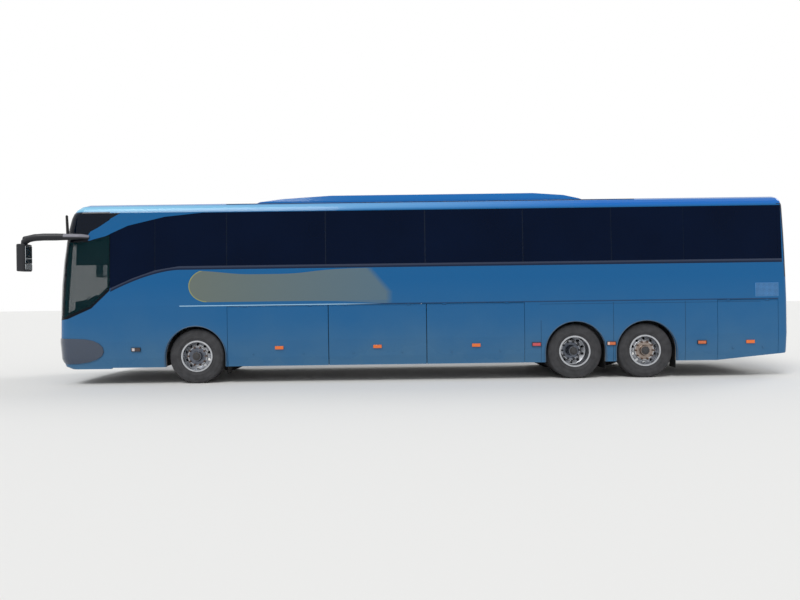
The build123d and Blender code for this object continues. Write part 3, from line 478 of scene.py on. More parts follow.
def makeMarkerPaint():
    # amber, but for the front one, painted dark brown as painted shade and half white, a red one, and the
    # pale end of the wide one
    paint = Paint("markerLens", coat=0.6, coatRough=0.04, specular=0.5)
    m = marker
    back = paint.place()[0]
    atFront, atRear, atWide = [back.near(m[place], m["reach"]) for place in ("front", "rear", "wide")]
    colour = paint.mix(atFront, tint(210, 104, 54), tint(56, 34, 36))
    colour = paint.mix(atFront * back.below(m["whiteUntil"]), colour, tint(214, 204, 204))
    colour = paint.mix(atRear, colour, tint(206, 74, 84))
    colour = paint.mix(atWide * back.below(m["paleUntil"]), colour, tint(228, 190, 176))
    paint.set(colour=colour, rough=0.2 + ((noseX - back) * m["ribs"]).apply("SINE") * 0.03)
    return paint


mirrorRoot = {"front": 0.30, "low": 2.822}


def makeMirrorPaint():
    # the arm's root on the pillar is pale, and the rest of it dark
    paint = Paint("mirrorShell", specular=0.4)
    back, across, z = paint.place()
    root = back.above(mirrorRoot["front"], 0.01) * z.above(mirrorRoot["low"], 0.01)
    grain = paint.noise(8.0, 3.0)
    dark = paint.mix(grain, tint(22, 24, 30), tint(30, 32, 38))
    paint.set(colour=paint.mix(root, dark, tint(128, 128, 138)), rough=0.38 + grain * 0.08)
    paint.bump(paint.noise(300), 0.05, 0.0006)
    return paint


# the even finishes: slot, screen colour, roughness, and what else differs
evenFinishes = {
    "blackTrim": ("black_plastic", (24, 25, 27), 0.45, {"grain": 0.08}),
    "blackGloss": ("black_plastic", (5, 10, 20), 0.12, {"specular": 0.12}),
    "greyTrim": ("interior_grey", (120, 122, 124), 0.5, {"grain": 0.05}),
    "cabinGrey": ("interior_grey", (132, 134, 136), 0.65, {"grain": 0.1}),
    "floorGrey": ("interior_grey", (78, 80, 84), 0.7, {"grain": 0.15}),
    "darkSteel": ("dark_steel", (38, 38, 40), 0.55, {"grain": 0.15, "grainSize": 90}),
    "brightMetal": ("polished_alloy", (180, 182, 184), 0.28, {"metallic": 1.0}),
    "lampChrome": ("polished_alloy", (214, 216, 220), 0.1, {"metallic": 1.0}),
    "mirrorGlass": ("polished_alloy", (225, 230, 234), 0.04, {"spread": 0.01, "metallic": 1.0}),
    "hubSteel": ("dark_steel", (58, 58, 60), 0.5, {"grain": 0.1}),
    "plateWhite": ("interior_grey", (206, 206, 202), 0.4, {}),
    "stepEdge": ("interior_grey", (196, 170, 60), 0.6, {}),
    "rustyNut": ("dark_steel", (110, 84, 70), 0.5, {"spread": 0.15, "metallic": 0.6}),
    "archLip": ("body_paint", (62, 92, 120), 0.4, {}),
    "ventDark": ("body_paint", (10, 44, 82), 0.7, {}),
    "ventSteel": ("body_paint", (74, 140, 200), 0.45, {}),
    "lampGlass": ("lamp_clear", (206, 212, 216), 0.08, {"coat": 0.8, "coatRough": 0.03}),
}
paints = [(makePlain(name, colour, rough, **more), slot)
          for name, (slot, colour, rough, more) in evenFinishes.items()]
paints += [
    (makeHeadlampPaint(), "lamp_clear"),
    (makeTailLampPaint(), "lamp_red"),
    (makeMarkerPaint(), "lamp_amber"),
    (makeMirrorPaint(), "black_plastic"),
    (makeBodyPaint("bodyPaint"), "body_paint"),
    (makeBodyPaint("roofPaint", False), "roof_paint"),
    (makeSideGlass(), "tinted_glass"),
    (makeScreenGlass(), "tinted_glass"),
    (makeDoorGlass(), "tinted_glass"),
    (makeMoulding(), "body_paint"),
    (makeFabric(), "seat_fabric"),
    (makeRubber("tyreRubber", (52, 52, 54), 0.72), "tyre_rubber"),
    (makeRubber("softRubber", (18, 18, 19), 0.6), "soft_rubber"),
    (makePolished(), "polished_alloy"),
    (makeLens("amberLens", (236, 120, 30), (190, 70, 10), 0.12), "lamp_amber"),
    # the red lens glows a little; on the rear reflectors, which are no lamps, that glow is painted light
    (makeLens("redLens", (190, 24, 28), (120, 6, 12), 0.08), "lamp_red"),
]
finishes = {paint.material.name: paint.material for paint, slot in paints}

nodeFinish = {
    "bodyPaint": "SIDE_side_wall front_bumper front_roof_cap front_panel rear_bumper engine_lid rear_panel "
                 "entrance_door middle_door SIDE_flap_front SIDE_flap_middle SIDE_flap_rear SIDE_engine_flap",
    "roofPaint": "roof roof_units",
    "sideGlass": "SIDE_windows rear_window middle_door_glass",
    "screenGlass": "windscreen",
    "clearGlass": "entrance_door_glass",
    "blackGloss": "window_frames",
    "blackTrim": "dashboard",
    "mirrorShell": "mirrors",
    "cabinGrey": "luggage_racks entrance_door_arms middle_door_arms",
    "floorGrey": "cab_floor saloon_floor hold_tub",
    "darkSteel": "chassis_frame engine front_axle rear_axles SIDE_knuckle",
    "softRubber": "mud_flaps steering_wheel",
    "tyreRubber": "front_SIDE_tyre drive_SIDE_tyre tag_SIDE_tyre",
    "polishedAlloy": "front_SIDE_rim drive_SIDE_rim tag_SIDE_rim",
    "seatMoquette": "passenger_seats driver_seat",
    "headlampCover": "headlamps",
    "tailLampCover": "tail_lamps",
    "markerLens": "side_markers",
}


def dressNodes():
    # SIDE in a name stands for left and for right
    for finish, names in nodeFinish.items():
        for name in names.split():
            for node in {name.replace("SIDE", side) for side in ("left", "right")}:
                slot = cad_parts[node].data.materials
                slot.clear()
                slot.append(finishes[finish])


# repeats by Geometry Nodes: posts round a circle, and boxes on a flat grid
repeatKinds = {
    "ring": {"inputs": {"count": "Int", "ring": "Float", "post": "Float", "length": "Float", "sides": "Int"},
             "places": ("MeshCircle", {"Vertices": "count", "Radius": "ring"}),
             "shape": ("MeshCylinder", {"Vertices": "sides", "Radius": "post", "Depth": "length"})},
    "grid": {"inputs": {"wide": "Float", "high": "Float", "columns": "Int", "rows": "Int", "size": "Vector"},
             "places": ("MeshGrid", {"Size X": "wide", "Size Y": "high", "Vertices X": "columns",
                                     "Vertices Y": "rows"}),
             "shape": ("MeshCube", {"Size": "size"})},
}


def makeRepeat(name, kind):
    tree = bpy.data.node_groups.new(name, "GeometryNodeTree")
    tree.interface.new_socket(name="Geometry", in_out="OUTPUT", socket_type="NodeSocketGeometry")
    keys = {}
    shared = {"turn": "Vector", "centre": "Vector", "finish": "Material"}
    for key, what in {**kind["inputs"], **shared}.items():
        socket = tree.interface.new_socket(name=key, in_out="INPUT", socket_type="NodeSocket" + what)
        keys[key] = socket.identifier
    given = tree.nodes.new("NodeGroupInput").outputs

    def made(what, inputs):
        return addNode(tree, "GeometryNode" + what, {}, inputs).outputs[0]
    places, shape = [made(what, {key: given[value] for key, value in links.items()})
                     for what, links in (kind["places"], kind["shape"])]
    many = made("InstanceOnPoints", {"Points": places, "Instance": shape})
    placed = made("Transform", {"Geometry": many, "Translation": given["centre"], "Rotation": given["turn"]})
    plain = made("RealizeInstances", {"Geometry": placed})
    dressed = made("SetMaterial", {"Geometry": plain, "Material": given["finish"]})
    addNode(tree, "NodeGroupOutput", {}, {0: dressed})
    return tree, keys


repeats = {name: makeRepeat(name, kind) for name, kind in repeatKinds.items()}
# a pole has this radius instead of none, so that no face there has a doubled corner
pinhole = 0.0003
merge = 1e-6


class Stock:
    # one mesh that grows, then becomes a finished piece on a body
    def __init__(self):
        self.points, self.faces = [], []

    def add(self, points, faces):
        start = len(self.points)
        self.points += [tuple(p) for p in points]
        self.faces += [tuple(start + i for i in face) for face in faces]

    def rings(self, rings, closed=False):
        # rings of points, each joined to the next; the last one meets the first, or both ends are capped
        count, n = len(rings), len(rings[0])
        pairs = [(i * n, (i + 1) % count * n) for i in range(count if closed else count - 1)]
        faces = [(i + k, i + (k + 1) % n, j + (k + 1) % n, j + k) for i, j in pairs for k in range(n)]
        if not closed:
            faces += [range(n)[::-1], range((count - 1) * n, count * n)]
        self.add([p for ring in rings for p in ring], faces)

    def box(self, xs, ys, zs):
        self.rings([[(x, ys[i], zs[k]) for i, k in ((0, 0), (1, 0), (1, 1), (0, 1))] for x in xs])

    def slab(self, backs, ys, zs):
        self.box([at(back) for back in backs], ys, zs)

    def tube(self, path, radius, steps=8, flat=1.0):
        # a round bar through a list of places; flat squeezes it across
        rings, up = [], None
        for i, p in enumerate(path):
            along = (path[min(i + 1, len(path) - 1)] - path[max(i - 1, 0)]).normalized()
            if up is None:
                up = Vector((0, 0, 1)) if abs(along.z) < 0.9 else Vector((0, 1, 0))
            across = along.cross(up).normalized()
            up = across.cross(along).normalized()
            r = radius[i] if isinstance(radius, (list, tuple)) else radius
            rings.append([p + across * (r * math.cos(a)) + up * (r * flat * math.sin(a))
                          for a in (2 * math.pi * k / steps for k in range(steps))])
        self.rings(rings)

    def turned(self, outline, centre, steps=24, axis="Y", wave=None):
        # an outline of (radius, along) places turned round an axis; wave changes the radius round the turn
        rings = []
        for k in range(steps):
            a = 2 * math.pi * k / steps
            ring = []
            for r, along in outline:
                r = wave(r, along, k) if wave else max(r, pinhole)
                c, s = r * math.cos(a), r * math.sin(a)
                spot = {"X": (along, c, s), "Y": (c, along, s), "Z": (c, s, along)}[axis]
                ring.append(Vector(centre) + Vector(spot))
            rings.append(ring)
        self.rings(rings, True)

    def prism(self, outline, ends, axis="X"):
        # a flat outline carried along an axis
        self.rings([[(w, u, v) if axis == "X" else (u, w, v) for u, v in outline] for w in ends])

    def repeat(self, kind, finish, turn=(math.pi / 2, 0, 0), **values):
        tree, keys = repeats[kind]
        holder = bpy.data.objects.new("maker", bpy.data.meshes.new("maker"))
        scene.collection.objects.link(holder)
        maker = holder.modifiers.new("maker", "NODES")
        maker.node_group = tree
        for key, value in {**values, "turn": turn, "finish": finishes[finish]}.items():
            maker[keys[key]] = value
        holder.update_tag()
        graph = bpy.context.evaluated_depsgraph_get()
        mesh = bpy.data.meshes.new_from_object(holder.evaluated_get(graph))
        self.add([v.co for v in mesh.vertices], [face.vertices for face in mesh.polygons])
        bpy.data.objects.remove(holder)

    def piece(self, name, finish, smooth=40, bevel=0.0, body="coach"):
        mesh = bpy.data.meshes.new(name)
        mesh.from_pydata(self.points, [], self.faces)
        work = bmesh.new()
        work.from_mesh(mesh)
        bmesh.ops.remove_doubles(work, verts=work.verts, dist=merge)
        bmesh.ops.dissolve_degenerate(work, edges=work.edges, dist=merge)
        bmesh.ops.recalc_face_normals(work, faces=work.faces)
        work.to_mesh(mesh)
        work.free()
        mesh.materials.append(finishes[finish])
        obj = bpy.data.objects.new(name, mesh)
        scene.collection.objects.link(obj)
        if bevel:
            rounding = obj.modifiers.new("rounding", "BEVEL")
            rounding.width, rounding.segments, rounding.limit_method = bevel, 2, "ANGLE"
        for face in mesh.polygons:
            face.use_smooth = True
        mesh.set_sharp_from_angle(angle=math.radians(smooth))
        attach(obj, body)
        return obj


def probe(names):
    # a ray tester over CAD nodes, to set small things on their surface
    points, faces = [], []
    for name in names.split():
        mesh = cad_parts[name].data
        start = len(points)
        points += [v.co.copy() for v in mesh.vertices]
        faces += [tuple(start + i for i in p.vertices) for p in mesh.polygons]
    tree = BVHTree.FromPolygons(points, faces)
    return lambda origin, way: tree.ray_cast(Vector(origin), Vector(way))[0]


def mirroredEnds(half):
    # half of a drum's outline, given from its end inwards, and the same again
    return [(r, -along) for r, along in half] + half[::-1]


def camel(name):
    return name.replace("_", " ").title().replace(" ", "")


wheelTable = [(axle, side, axle == "drive") for axle in axles for side in ("left", "right")]
tyreShape = {"radius": axleHeight, "half": 0.1475, "groove": 0.013, "grooveWide": 0.011, "steps": 132,
             "grooves": (0.082, 0.03, -0.03, -0.082), "notch": 0.006, "ribNotch": 0.35, "everyThird": 3,
             "notchDepth": 0.02, "shoulder": 0.09, "beadWall": [(0.2876, 0.122), (0.306, 0.1235)],
             "wall": ((0.334, 0.0105), (0.352, 0.004), (0.358, 0.0015), (0.364, 0.004), (0.40, 0.001),
                      (0.425, 0), (0.452, 0.0012), (0.456, 0.004), (0.476, 0.006)),
             "crown": ((0.03, 0.0085), (0.016, 0.0165), (0.005, 0.026), (0.001, 0.038))}


def tyreOutline():
    t = tyreShape
    r, h, deep, w = t["radius"], t["half"], t["radius"] - t["groove"], t["grooveWide"] / 2
    half = t["beadWall"] + [(a, h - b) for a, b in t["wall"]] + [(r - a, h - b) for a, b in t["crown"]]
    tread = []
    for g in t["grooves"]:
        tread += [(r, g + w), (deep, g + w * 0.6), (deep, g - w * 0.6), (r, g - w)]
    return half + tread + [(a, -b) for a, b in reversed(half)]


def makeTyres():
    t = tyreShape

    def blocks(r, along, k):
        # the shoulders and ribs are cut across at every third step
        if r > t["radius"] - t["notchDepth"] and k % t["everyThird"] == 0:
            return r - t["notch"] * (1.0 if abs(along) > t["shoulder"] else t["ribNotch"])
        return r
    for axle, side, twin in wheelTable:
        name = f"{axle}_{side}_tyre"
        low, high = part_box(name)
        x, y, z = (low + high) / 2
        spread = (high.y - low.y) / 2 - t["half"]
        stock = Stock()
        for middle in around(y, spread) if twin else (y,):
            stock.turned(tyreOutline(), (x, middle, z), t["steps"], wave=blocks)
        made = stock.piece(f"{axle}{side.title()}Tyre", "tyreRubber", 34, body=f"{axle}_{side}_wheel")
        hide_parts(name)


# the faces of a wheel's disc and hub are given as places out from the middle of the coach
hubTrim = {"twin": (0.9132, 1.11), "single": (1.148, 1.205), "sunk": 0.004,
           "nut": {"count": 10, "ring": 0.168, "post": 0.0165, "sides": 6, "length": 0.044},
           "stud": {"count": 10, "ring": 0.168, "post": 0.010, "sides": 10, "length": 0.066},
           "capBolt": {"count": 8, "ring": 0.068, "post": 0.006, "sides": 6, "length": 0.012},
           "cap": ((0.0005, -0.03), (0.080, -0.03), (0.080, 0.001), (0.056, 0.004), (0.050, 0.012),
                   (0.030, 0.015), (0.0005, 0.016)),
           "bead": ((0.186, 0.0), (0.192, 0.004), (0.198, 0.0)), "beadSunk": 0.0005,
           "valve": ((0.262, 0.01), (0.250, 0.05)), "valveRadius": 0.006}


def dressWheels():
    h = hubTrim
    for axle, side, twin in wheelTable:
        sign = 1 if side == "left" else -1
        low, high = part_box(f"{axle}_{side}_rim")
        x, z = (low.x + high.x) / 2, (low.z + high.z) / 2
        disc, hub = h["twin"] if twin else h["single"]
        name, body = axle + side.title(), f"{axle}_{side}_wheel"
        metal = "darkSteel" if twin else "rustyNut"
        nuts, cap, valve = Stock(), Stock(), Stock()
        for kind, foot in (("nut", disc), ("stud", disc), ("capBolt", hub)):
            y = sign * (foot + h[kind]["length"] / 2 - h["sunk"])
            nuts.repeat("ring", metal, centre=(x, y, z), **h[kind])
        nuts.piece(name + "Nuts", metal, crisp, body=body)
        cap.turned([(r, sign * a) for r, a in h["cap"]], (x, sign * hub, z), 40)
        cap.turned([(r, sign * a) for r, a in h["bead"]], (x, sign * (disc - h["beadSunk"]), z), 48)
        cap.piece(name + "HubCap", "hubSteel", 34, body=body)
        valve.tube([Vector((x + r, sign * (disc + out), z)) for r, out in h["valve"]], h["valveRadius"])
        valve.piece(name + "Valve", "brightMetal", body=body)


waist = {"low": 1.479, "high": 1.497, "proud": 0.005, "edge": 0.003, "start": 2.44, "end": 13.84,
         "doorFrom": 8.022, "doorTo": 8.868, "wallGap": 0.03, "doorGap": 0.01}


def makeWaistMouldings():
    w = waist
    middle = (w["low"] + w["high"]) / 2
    outline = ((0, w["low"]), (0, w["high"]), (w["edge"], w["high"]), (w["proud"], middle),
               (w["edge"], w["low"]))
    onWall, onDoor = Stock(), Stock()
    for stock, side, start, end in ((onWall, 1, w["start"], w["end"]),
                                    (onWall, -1, w["start"], w["doorFrom"] - w["wallGap"]),
                                    (onWall, -1, w["doorTo"] + w["wallGap"], w["end"]),
                                    (onDoor, -1, w["doorFrom"] + w["doorGap"], w["doorTo"] - w["doorGap"])):
        stock.prism([(side * (bodyHalf + out), z) for out, z in outline], (at(start), at(end)))
    onWall.piece("waistMouldings", "waistMoulding", crisp)
    onDoor.piece("middleDoorMoulding", "waistMoulding", crisp, body="middle_door_body")


archLip = {"radius": 0.583, "section": 0.0095, "low": 0.335, "y": 1.2725, "steps": 26}


def makeArchLips():
    a = archLip
    turns = [math.pi * k / a["steps"] for k in range(a["steps"] + 1)]
    arc = [(a["radius"] * math.cos(t), axleHeight + a["radius"] * math.sin(t)) for t in turns]
    stock = Stock()
    for back in axles.values():
        for side in sides:
            path = [(a["radius"], a["low"])] + arc + [(-a["radius"], a["low"])]
            stock.tube([Vector((at(back) + along, side * a["y"], z)) for along, z in path], a["section"])
    stock.piece("archLips", "archLip")


flapTrim = {"lensHalf": 0.08, "lensHigh": (0.641, 0.703), "lensDeep": (1.2705, 1.286), "lockY": 1.268,
            "lockZ": 0.56, "twoLocksFrom": 1.0,
            "lock": ((0, 0), (0.016, 0), (0.016, 0.004), (0.011, 0.006), (0, 0.006))}
flapLenses = {"left_flap_front": 4.33, "left_flap_middle": 6.20, "left_flap_rear": 8.08,
              "left_engine_flap": 13.30, "right_flap_front": 4.33, "right_flap_middle": 6.20,
              "right_engine_flap": 13.30}


def makeFlapFittings():
    f = flapTrim
    for name, back in flapLenses.items():
        side = 1 if name.startswith("left") else -1
        lens = Stock()
        lens.box(around(at(back), f["lensHalf"]), [side * y for y in f["lensDeep"]], f["lensHigh"])
        lens.piece(camel(name) + "Lens", "amberLens", crisp, 0.003, name + "_body")
    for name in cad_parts:
        if "_flap" not in name or name == "mud_flaps":
            continue
        side = 1 if name.startswith("left") else -1
        low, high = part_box(name)
        count = 2 if high.x - low.x > f["twoLocksFrom"] else 1
        locks = Stock()
        for k in range(count):
            x = low.x + (high.x - low.x) * (k + 0.5) / count
            locks.turned([(r, side * a) for r, a in f["lock"]], (x, side * f["lockY"], f["lockZ"]), 20)
        locks.piece(camel(name) + "Locks", "bodyPaint", crisp, body=name + "_body")


markerBezel = {"half": 0.087, "high": (0.634, 0.710), "edge": 0.009, "deep": (1.262, 1.2855),
               "backs": (1.6, 9.23, 10.655, 12.38)}


def makeMarkerBezels():
    # a flat frame of four bars round each lamp
    m = markerBezel
    low, high = m["high"]
    stock = Stock()
    for back in m["backs"]:
        for side in sides:
            ys = [side * y for y in m["deep"]]
            left, right = around(at(back), m["half"])
            stock.box((left, right), ys, (low, low + m["edge"]))
            stock.box((left, right), ys, (high - m["edge"], high))
            stock.box((left, left + m["edge"]), ys, (low + m["edge"], high - m["edge"]))
            stock.box((right - m["edge"], right), ys, (low + m["edge"], high - m["edge"]))
    stock.piece("markerBezels", "blackTrim", crisp)


apron = {"reach": 0.600, "halfThick": 0.003, "wide": (0.50, 1.215), "high": (0.335, 0.62)}


def makeAprons():
    # rubber aprons that carry the front wheelhouses down to the sill
    a = apron
    stock = Stock()
    for x in around(at(axles["front"]), a["reach"]):
        for side in sides:
            stock.box(around(x, a["halfThick"]), [side * y for y in a["wide"]], a["high"])
    stock.piece("archAprons", "softRubber", crisp)


gutterAndShade = {"z": 3.447, "radius": 0.009, "front": 3.3, "back": 11.2, "steps": 24}


def makeGuttersAndShade():
    # a dark seal along the edge of the roof, whose dark line also stands for painted shade under the roof pod
    g = gutterAndShade
    hit = probe("roof")
    stock = Stock()
    for side in sides:
        shares = [k / g["steps"] for k in range(g["steps"] + 1)]
        path = [hit((at(g["front"] + (g["back"] - g["front"]) * share), side * 3, g["z"]), (0, -side, 0))
                for share in shares]
        stock.tube(path, g["radius"])
    stock.piece("roofGutters", "softRubber")


tailCorner = {"centreBack": 13.80, "centreY": 1.02, "from": 12.0, "to": 38.0, "turns": 8, "low": 0.82,
              "high": 1.36, "rows": 8, "proud": 0.008, "sunk": -0.004}


def makeTailCorners():
    # the tail lamps run round the corner of the body, where the side view shows their edge
    t = tailCorner
    hit = probe("rear_panel rear_bumper engine_lid left_side_wall right_side_wall left_engine_flap "
                "right_engine_flap")
    stock = Stock()
    for side in sides:
        rings = []
        for row in range(t["rows"] + 1):
            z = t["low"] + (t["high"] - t["low"]) * row / t["rows"]
            middle = Vector((at(t["centreBack"]), side * t["centreY"], z))
            outer, inner = [], []
            for k in range(t["turns"] + 1):
                turn = math.radians(t["from"] + (t["to"] - t["from"]) * k / t["turns"])
                way = Vector((-math.cos(turn), side * math.sin(turn), 0))
                spot = hit(middle + way * 2, -way)
                outer.append(spot + way * t["proud"])
                inner.append(spot + way * t["sunk"])
            rings.append(outer + inner[::-1])
        stock.rings(rings)
    stock.piece("tailLampCorners", "tailLampCover", 50)


vent = {"from": 13.41, "to": 13.85, "low": 1.53, "high": 1.79, "deep": (1.262, 1.2745), "columns": 19,
        "rows": 11, "size": (0.0125, 0.0125, 0.002), "holeY": 1.2748, "margin": 0.03}


def makeSideVents():
    v = vent
    plates, holes = Stock(), Stock()
    middle = ((at(v["from"]) + at(v["to"])) / 2, (v["low"] + v["high"]) / 2)
    for side in sides:
        plates.slab((v["from"], v["to"]), [side * y for y in v["deep"]], (v["low"], v["high"]))
        # the holes are dark blue boxes on the plate: painted shade in the openings
        holes.repeat("grid", "ventDark", wide=v["to"] - v["from"] - v["margin"],
                     high=v["high"] - v["low"] - v["margin"], columns=v["columns"], rows=v["rows"],
                     size=v["size"], centre=(middle[0], side * v["holeY"], middle[1]))
    plates.piece("sideVentPlates", "ventSteel", crisp, 0.002)
    holes.piece("sideVentHoles", "ventDark", crisp)


grille = {"backings": ((-0.615, 0.33), (0.43, 0.615)), "deep": (0.10, 0.112), "high": (0.402, 0.558),
          "slats": 4, "slatSpan": 0.11, "slat": (0.05, 0.012, 0.58), "slatBack": 0.075, "middleZ": 0.48}
fogLamp = {"back": 0.10, "y": 0.53, "z": 0.48, "steps": 32,
           "ring": ((0.055, 0), (0.067, 0), (0.067, 0.03), (0.055, 0.022)),
           "lens": ((0, 0.018), (0.033, 0.015), (0.055, 0.006), (0.055, 0), (0, 0))}
topLamp = {"y": 0.82, "z": 3.36,
           "dome": ((0, -0.02), (0.028, -0.02), (0.026, 0.006), (0.014, 0.012), (0, 0.013))}


def makeFrontFittings():
    g, f = grille, fogLamp
    backing, slats, fog, ring, top = [Stock() for _ in range(5)]
    for wide in g["backings"]:
        backing.slab(g["deep"], wide, g["high"])
    backing.piece("grilleBacking", "blackTrim", crisp)
    slats.repeat("grid", "blackTrim", high=g["slatSpan"], columns=1, rows=g["slats"], size=g["slat"],
                 centre=(at(g["slatBack"]), 0.0, g["middleZ"]))
    slats.piece("grilleSlats", "blackTrim", crisp)
    hit = probe("front_roof_cap roof")
    for side in sides:
        place = (at(f["back"]), side * f["y"], f["z"])
        ring.turned(f["ring"], place, f["steps"], "X")
        fog.turned(f["lens"], place, f["steps"], "X")
        top.turned(topLamp["dome"], hit((at(-1), side * topLamp["y"], topLamp["z"]), (-1, 0, 0)), 20, "X")
    ring.piece("fogLampRings", "lampChrome")
    fog.piece("fogLampLenses", "lampGlass")
    top.piece("topLamps", "lampGlass")


wiper = {"pivotZ": 1.235, "pivots": (0.86, -0.10), "reach": 0.60, "armRise": 0.30, "bladeLength": 0.82,
         "armSteps": 6, "bladeSteps": 8, "armOff": 0.05, "tipFall": 0.016, "armRadius": 0.013, "taper": 0.005,
         "springOff": (0.012, 0, 0.03), "backboneOff": (0.010, 0, 0), "thin": 0.004, "bladeRadius": 0.009,
         "boss": ((0, -0.02), (0.026, -0.02), (0.026, 0.035), (0.018, 0.05), (0, 0.05))}


def makeWipers():
    w = wiper
    hit = probe("windscreen front_panel window_frames")

    def onScreen(y, z, off):
        return Vector((hit((at(-1), y, z), (-1, 0, 0)).x + off, y, z))
    arms, blades = Stock(), Stock()
    for y in w["pivots"]:
        z, rise = w["pivotZ"], w["armRise"]
        arms.turned(w["boss"], onScreen(y, z, 0.0), 20, "X")
        steps = [k / w["armSteps"] for k in range(w["armSteps"] + 1)]
        path = [onScreen(y - w["reach"] * t, z + rise * t, w["armOff"] - w["tipFall"] * t) for t in steps]
        arms.tube(path, [w["armRadius"] - w["taper"] * t for t in steps], flat=0.6)
        arms.tube([p + Vector(w["springOff"]) for p in path[1:4]], w["thin"], 6)
        way = Vector((0, -w["reach"], rise)).normalized()
        along = [(k / w["bladeSteps"] - 0.5) * w["bladeLength"] for k in range(w["bladeSteps"] + 1)]
        blade = [onScreen(y - w["reach"] + way.y * a, z + rise + way.z * a, w["tipFall"]) for a in along]
        blades.tube(blade, w["bladeRadius"], 6, flat=0.7)
        blades.tube([p - Vector(w["backboneOff"]) for p in blade], w["thin"], 6)
    arms.piece("wiperArms", "blackTrim")
    blades.piece("wiperBlades", "softRubber")


mirror = {"glassBack": (-0.333, -0.326), "glassWide": (1.312, 1.508),
          "glasses": ((2.33, 2.655), (2.21, 2.315)),
          "arm": ((0.70, 1.215, 2.824), (0.60, 1.27, 2.834), (0.40, 1.305, 2.832), (0.15, 1.345, 2.828),
                  (-0.06, 1.395, 2.824), (-0.22, 1.41, 2.812), (-0.33, 1.41, 2.788), (-0.405, 1.41, 2.735),
                  (-0.42, 1.41, 2.66)),
          "armRadius": (0.046, 0.052, 0.060, 0.068, 0.068, 0.066, 0.064, 0.060, 0.055),
          "aerial": ((0.36, 1.322, 2.86), (0.352, 1.322, 3.05), (0.345, 1.322, 3.225), (0.344, 1.322, 3.24)),
          "aerialRadius": (0.026, 0.024, 0.022, 0.010)}


def makeMirrors():
    # the glasses, a deep shell over each mirror's tube, and a stub aerial that stands on the left one
    m = mirror
    glass, shells, aerial = Stock(), Stock(), Stock()
    for side in sides:
        for high in m["glasses"]:
            glass.slab(m["glassBack"], [side * y for y in m["glassWide"]], high)
        shells.tube(spots(m["arm"], side), m["armRadius"], 20)
    aerial.tube(spots(m["aerial"]), m["aerialRadius"], 12)
    glass.piece("mirrorGlasses", "mirrorGlass", crisp, 0.003)
    shells.piece("mirrorArmShells", "mirrorShell", rounded)
    aerial.piece("stubAerial", "softRubber", rounded)


plate = {"half": 0.26, "high": 0.11, "frontZ": 0.60, "rearZ": 0.43, "thick": 0.004, "margin": 0.012,
         "holderThick": 0.006, "holderSunk": 0.004}


def makePlates():
    # blank plates, front and rear, each on a dark holder
    p = plate
    holders, plates = Stock(), Stock()
    for back, way, z, names in ((-1, -1, p["frontZ"], "front_bumper front_panel"),
                                (16, 1, p["rearZ"], "rear_bumper")):
        hit = probe(names)
        hits = [hit((at(back), y, z + p["high"] / 2), (way, 0, 0)) for y in (-p["half"], 0.0, p["half"])]
        places = [way * spot.x for spot in hits]
        face, deep = way * min(places), way * max(places)
        front = face - way * p["holderThick"]
        holders.box((deep + way * p["holderSunk"], front), around(0, p["half"] + p["margin"]),
                    (z - p["margin"], z + p["high"] + p["margin"]))
        plates.box((front, front - way * p["thick"]), around(0, p["half"]), (z, z + p["high"]))
    holders.piece("plateHolders", "blackTrim", crisp, 0.003)
    plates.piece("blankPlates", "plateWhite", crisp)


tail = {"half": 0.55, "low": 1.02, "high": 1.62, "margin": 0.03, "slats": 14, "slat": (0.012, 0.02, 1.1),
        "slatOff": 0.005, "lidZ": 1.3, "frameDeep": (0.004, -0.002), "handleRadius": 0.008,
        "stopDeep": (-0.006, 0.01), "stopHalf": 0.16,
        "handle": ((0.01, -0.09), (-0.012, -0.085), (-0.012, 0.085), (0.01, 0.09)), "handleZ": 0.86,
        "stopZ": 3.225, "stopHigh": (3.21, 3.24), "reflectorY": 0.98, "reflectorZ": 0.64,
        "reflector": ((0, 0.01), (0.036, 0.01), (0.034, -0.004), (0, -0.006))}


def makeRearFittings():
    t, lid = tail, "engine_lid_body"
    hit = probe("engine_lid rear_panel rear_bumper")

    def face(y, z):
        return hit((at(16), y, z), (1, 0, 0)).x
    lidX = face(0.0, t["lidZ"])
    border, slats, handle, red = [Stock() for _ in range(4)]
    border.box([lidX + off for off in t["frameDeep"]], around(0, t["half"] + t["margin"]),
               (t["low"] - t["margin"], t["high"] + t["margin"]))
    border.piece("lidGrilleFrame", "blackTrim", crisp, body=lid)
    slats.repeat("grid", "bodyPaint", high=t["high"] - t["low"], columns=1, rows=t["slats"],
                 size=t["slat"], centre=(lidX - t["slatOff"], 0.0, (t["low"] + t["high"]) / 2))
    slats.piece("lidGrilleSlats", "bodyPaint", crisp, body=lid)
    handle.tube([Vector((lidX + off, y, t["handleZ"])) for off, y in t["handle"]], t["handleRadius"])
    handle.piece("lidHandle", "blackTrim", body=lid)
    stopX = face(0.0, t["stopZ"])
    red.box([stopX + off for off in t["stopDeep"]], around(0, t["stopHalf"]), t["stopHigh"])
    # the reflectors are no lamps, so the red lens's glow on them is painted light
    for side in sides:
        y, z = side * t["reflectorY"], t["reflectorZ"]
        red.turned(t["reflector"], (face(y, z), y, z), axis="X")
    red.piece("rearReflectors", "redLens")


fans = {"backs": (5.9, 6.9, 7.9), "radius": 0.30, "steps": 48, "bars": 5, "pitch": 0.052, "barHalf": 0.004,
        "ring": ((0.30, -0.004), (0.33, -0.004), (0.325, 0.006), (0.305, 0.006)),
        "well": ((0, -0.003), (0.302, -0.003), (0.302, 0.001), (0, 0.001)),
        "motor": ((0, 0.001), (0.075, 0.001), (0.068, 0.003), (0, 0.003)), "sunk": 0.002, "proud": 0.005,
        "slots": 22, "slotFront": 5.5, "slotPitch": 0.17, "slotHalf": 0.05, "slotWide": (0.45, 0.60)}


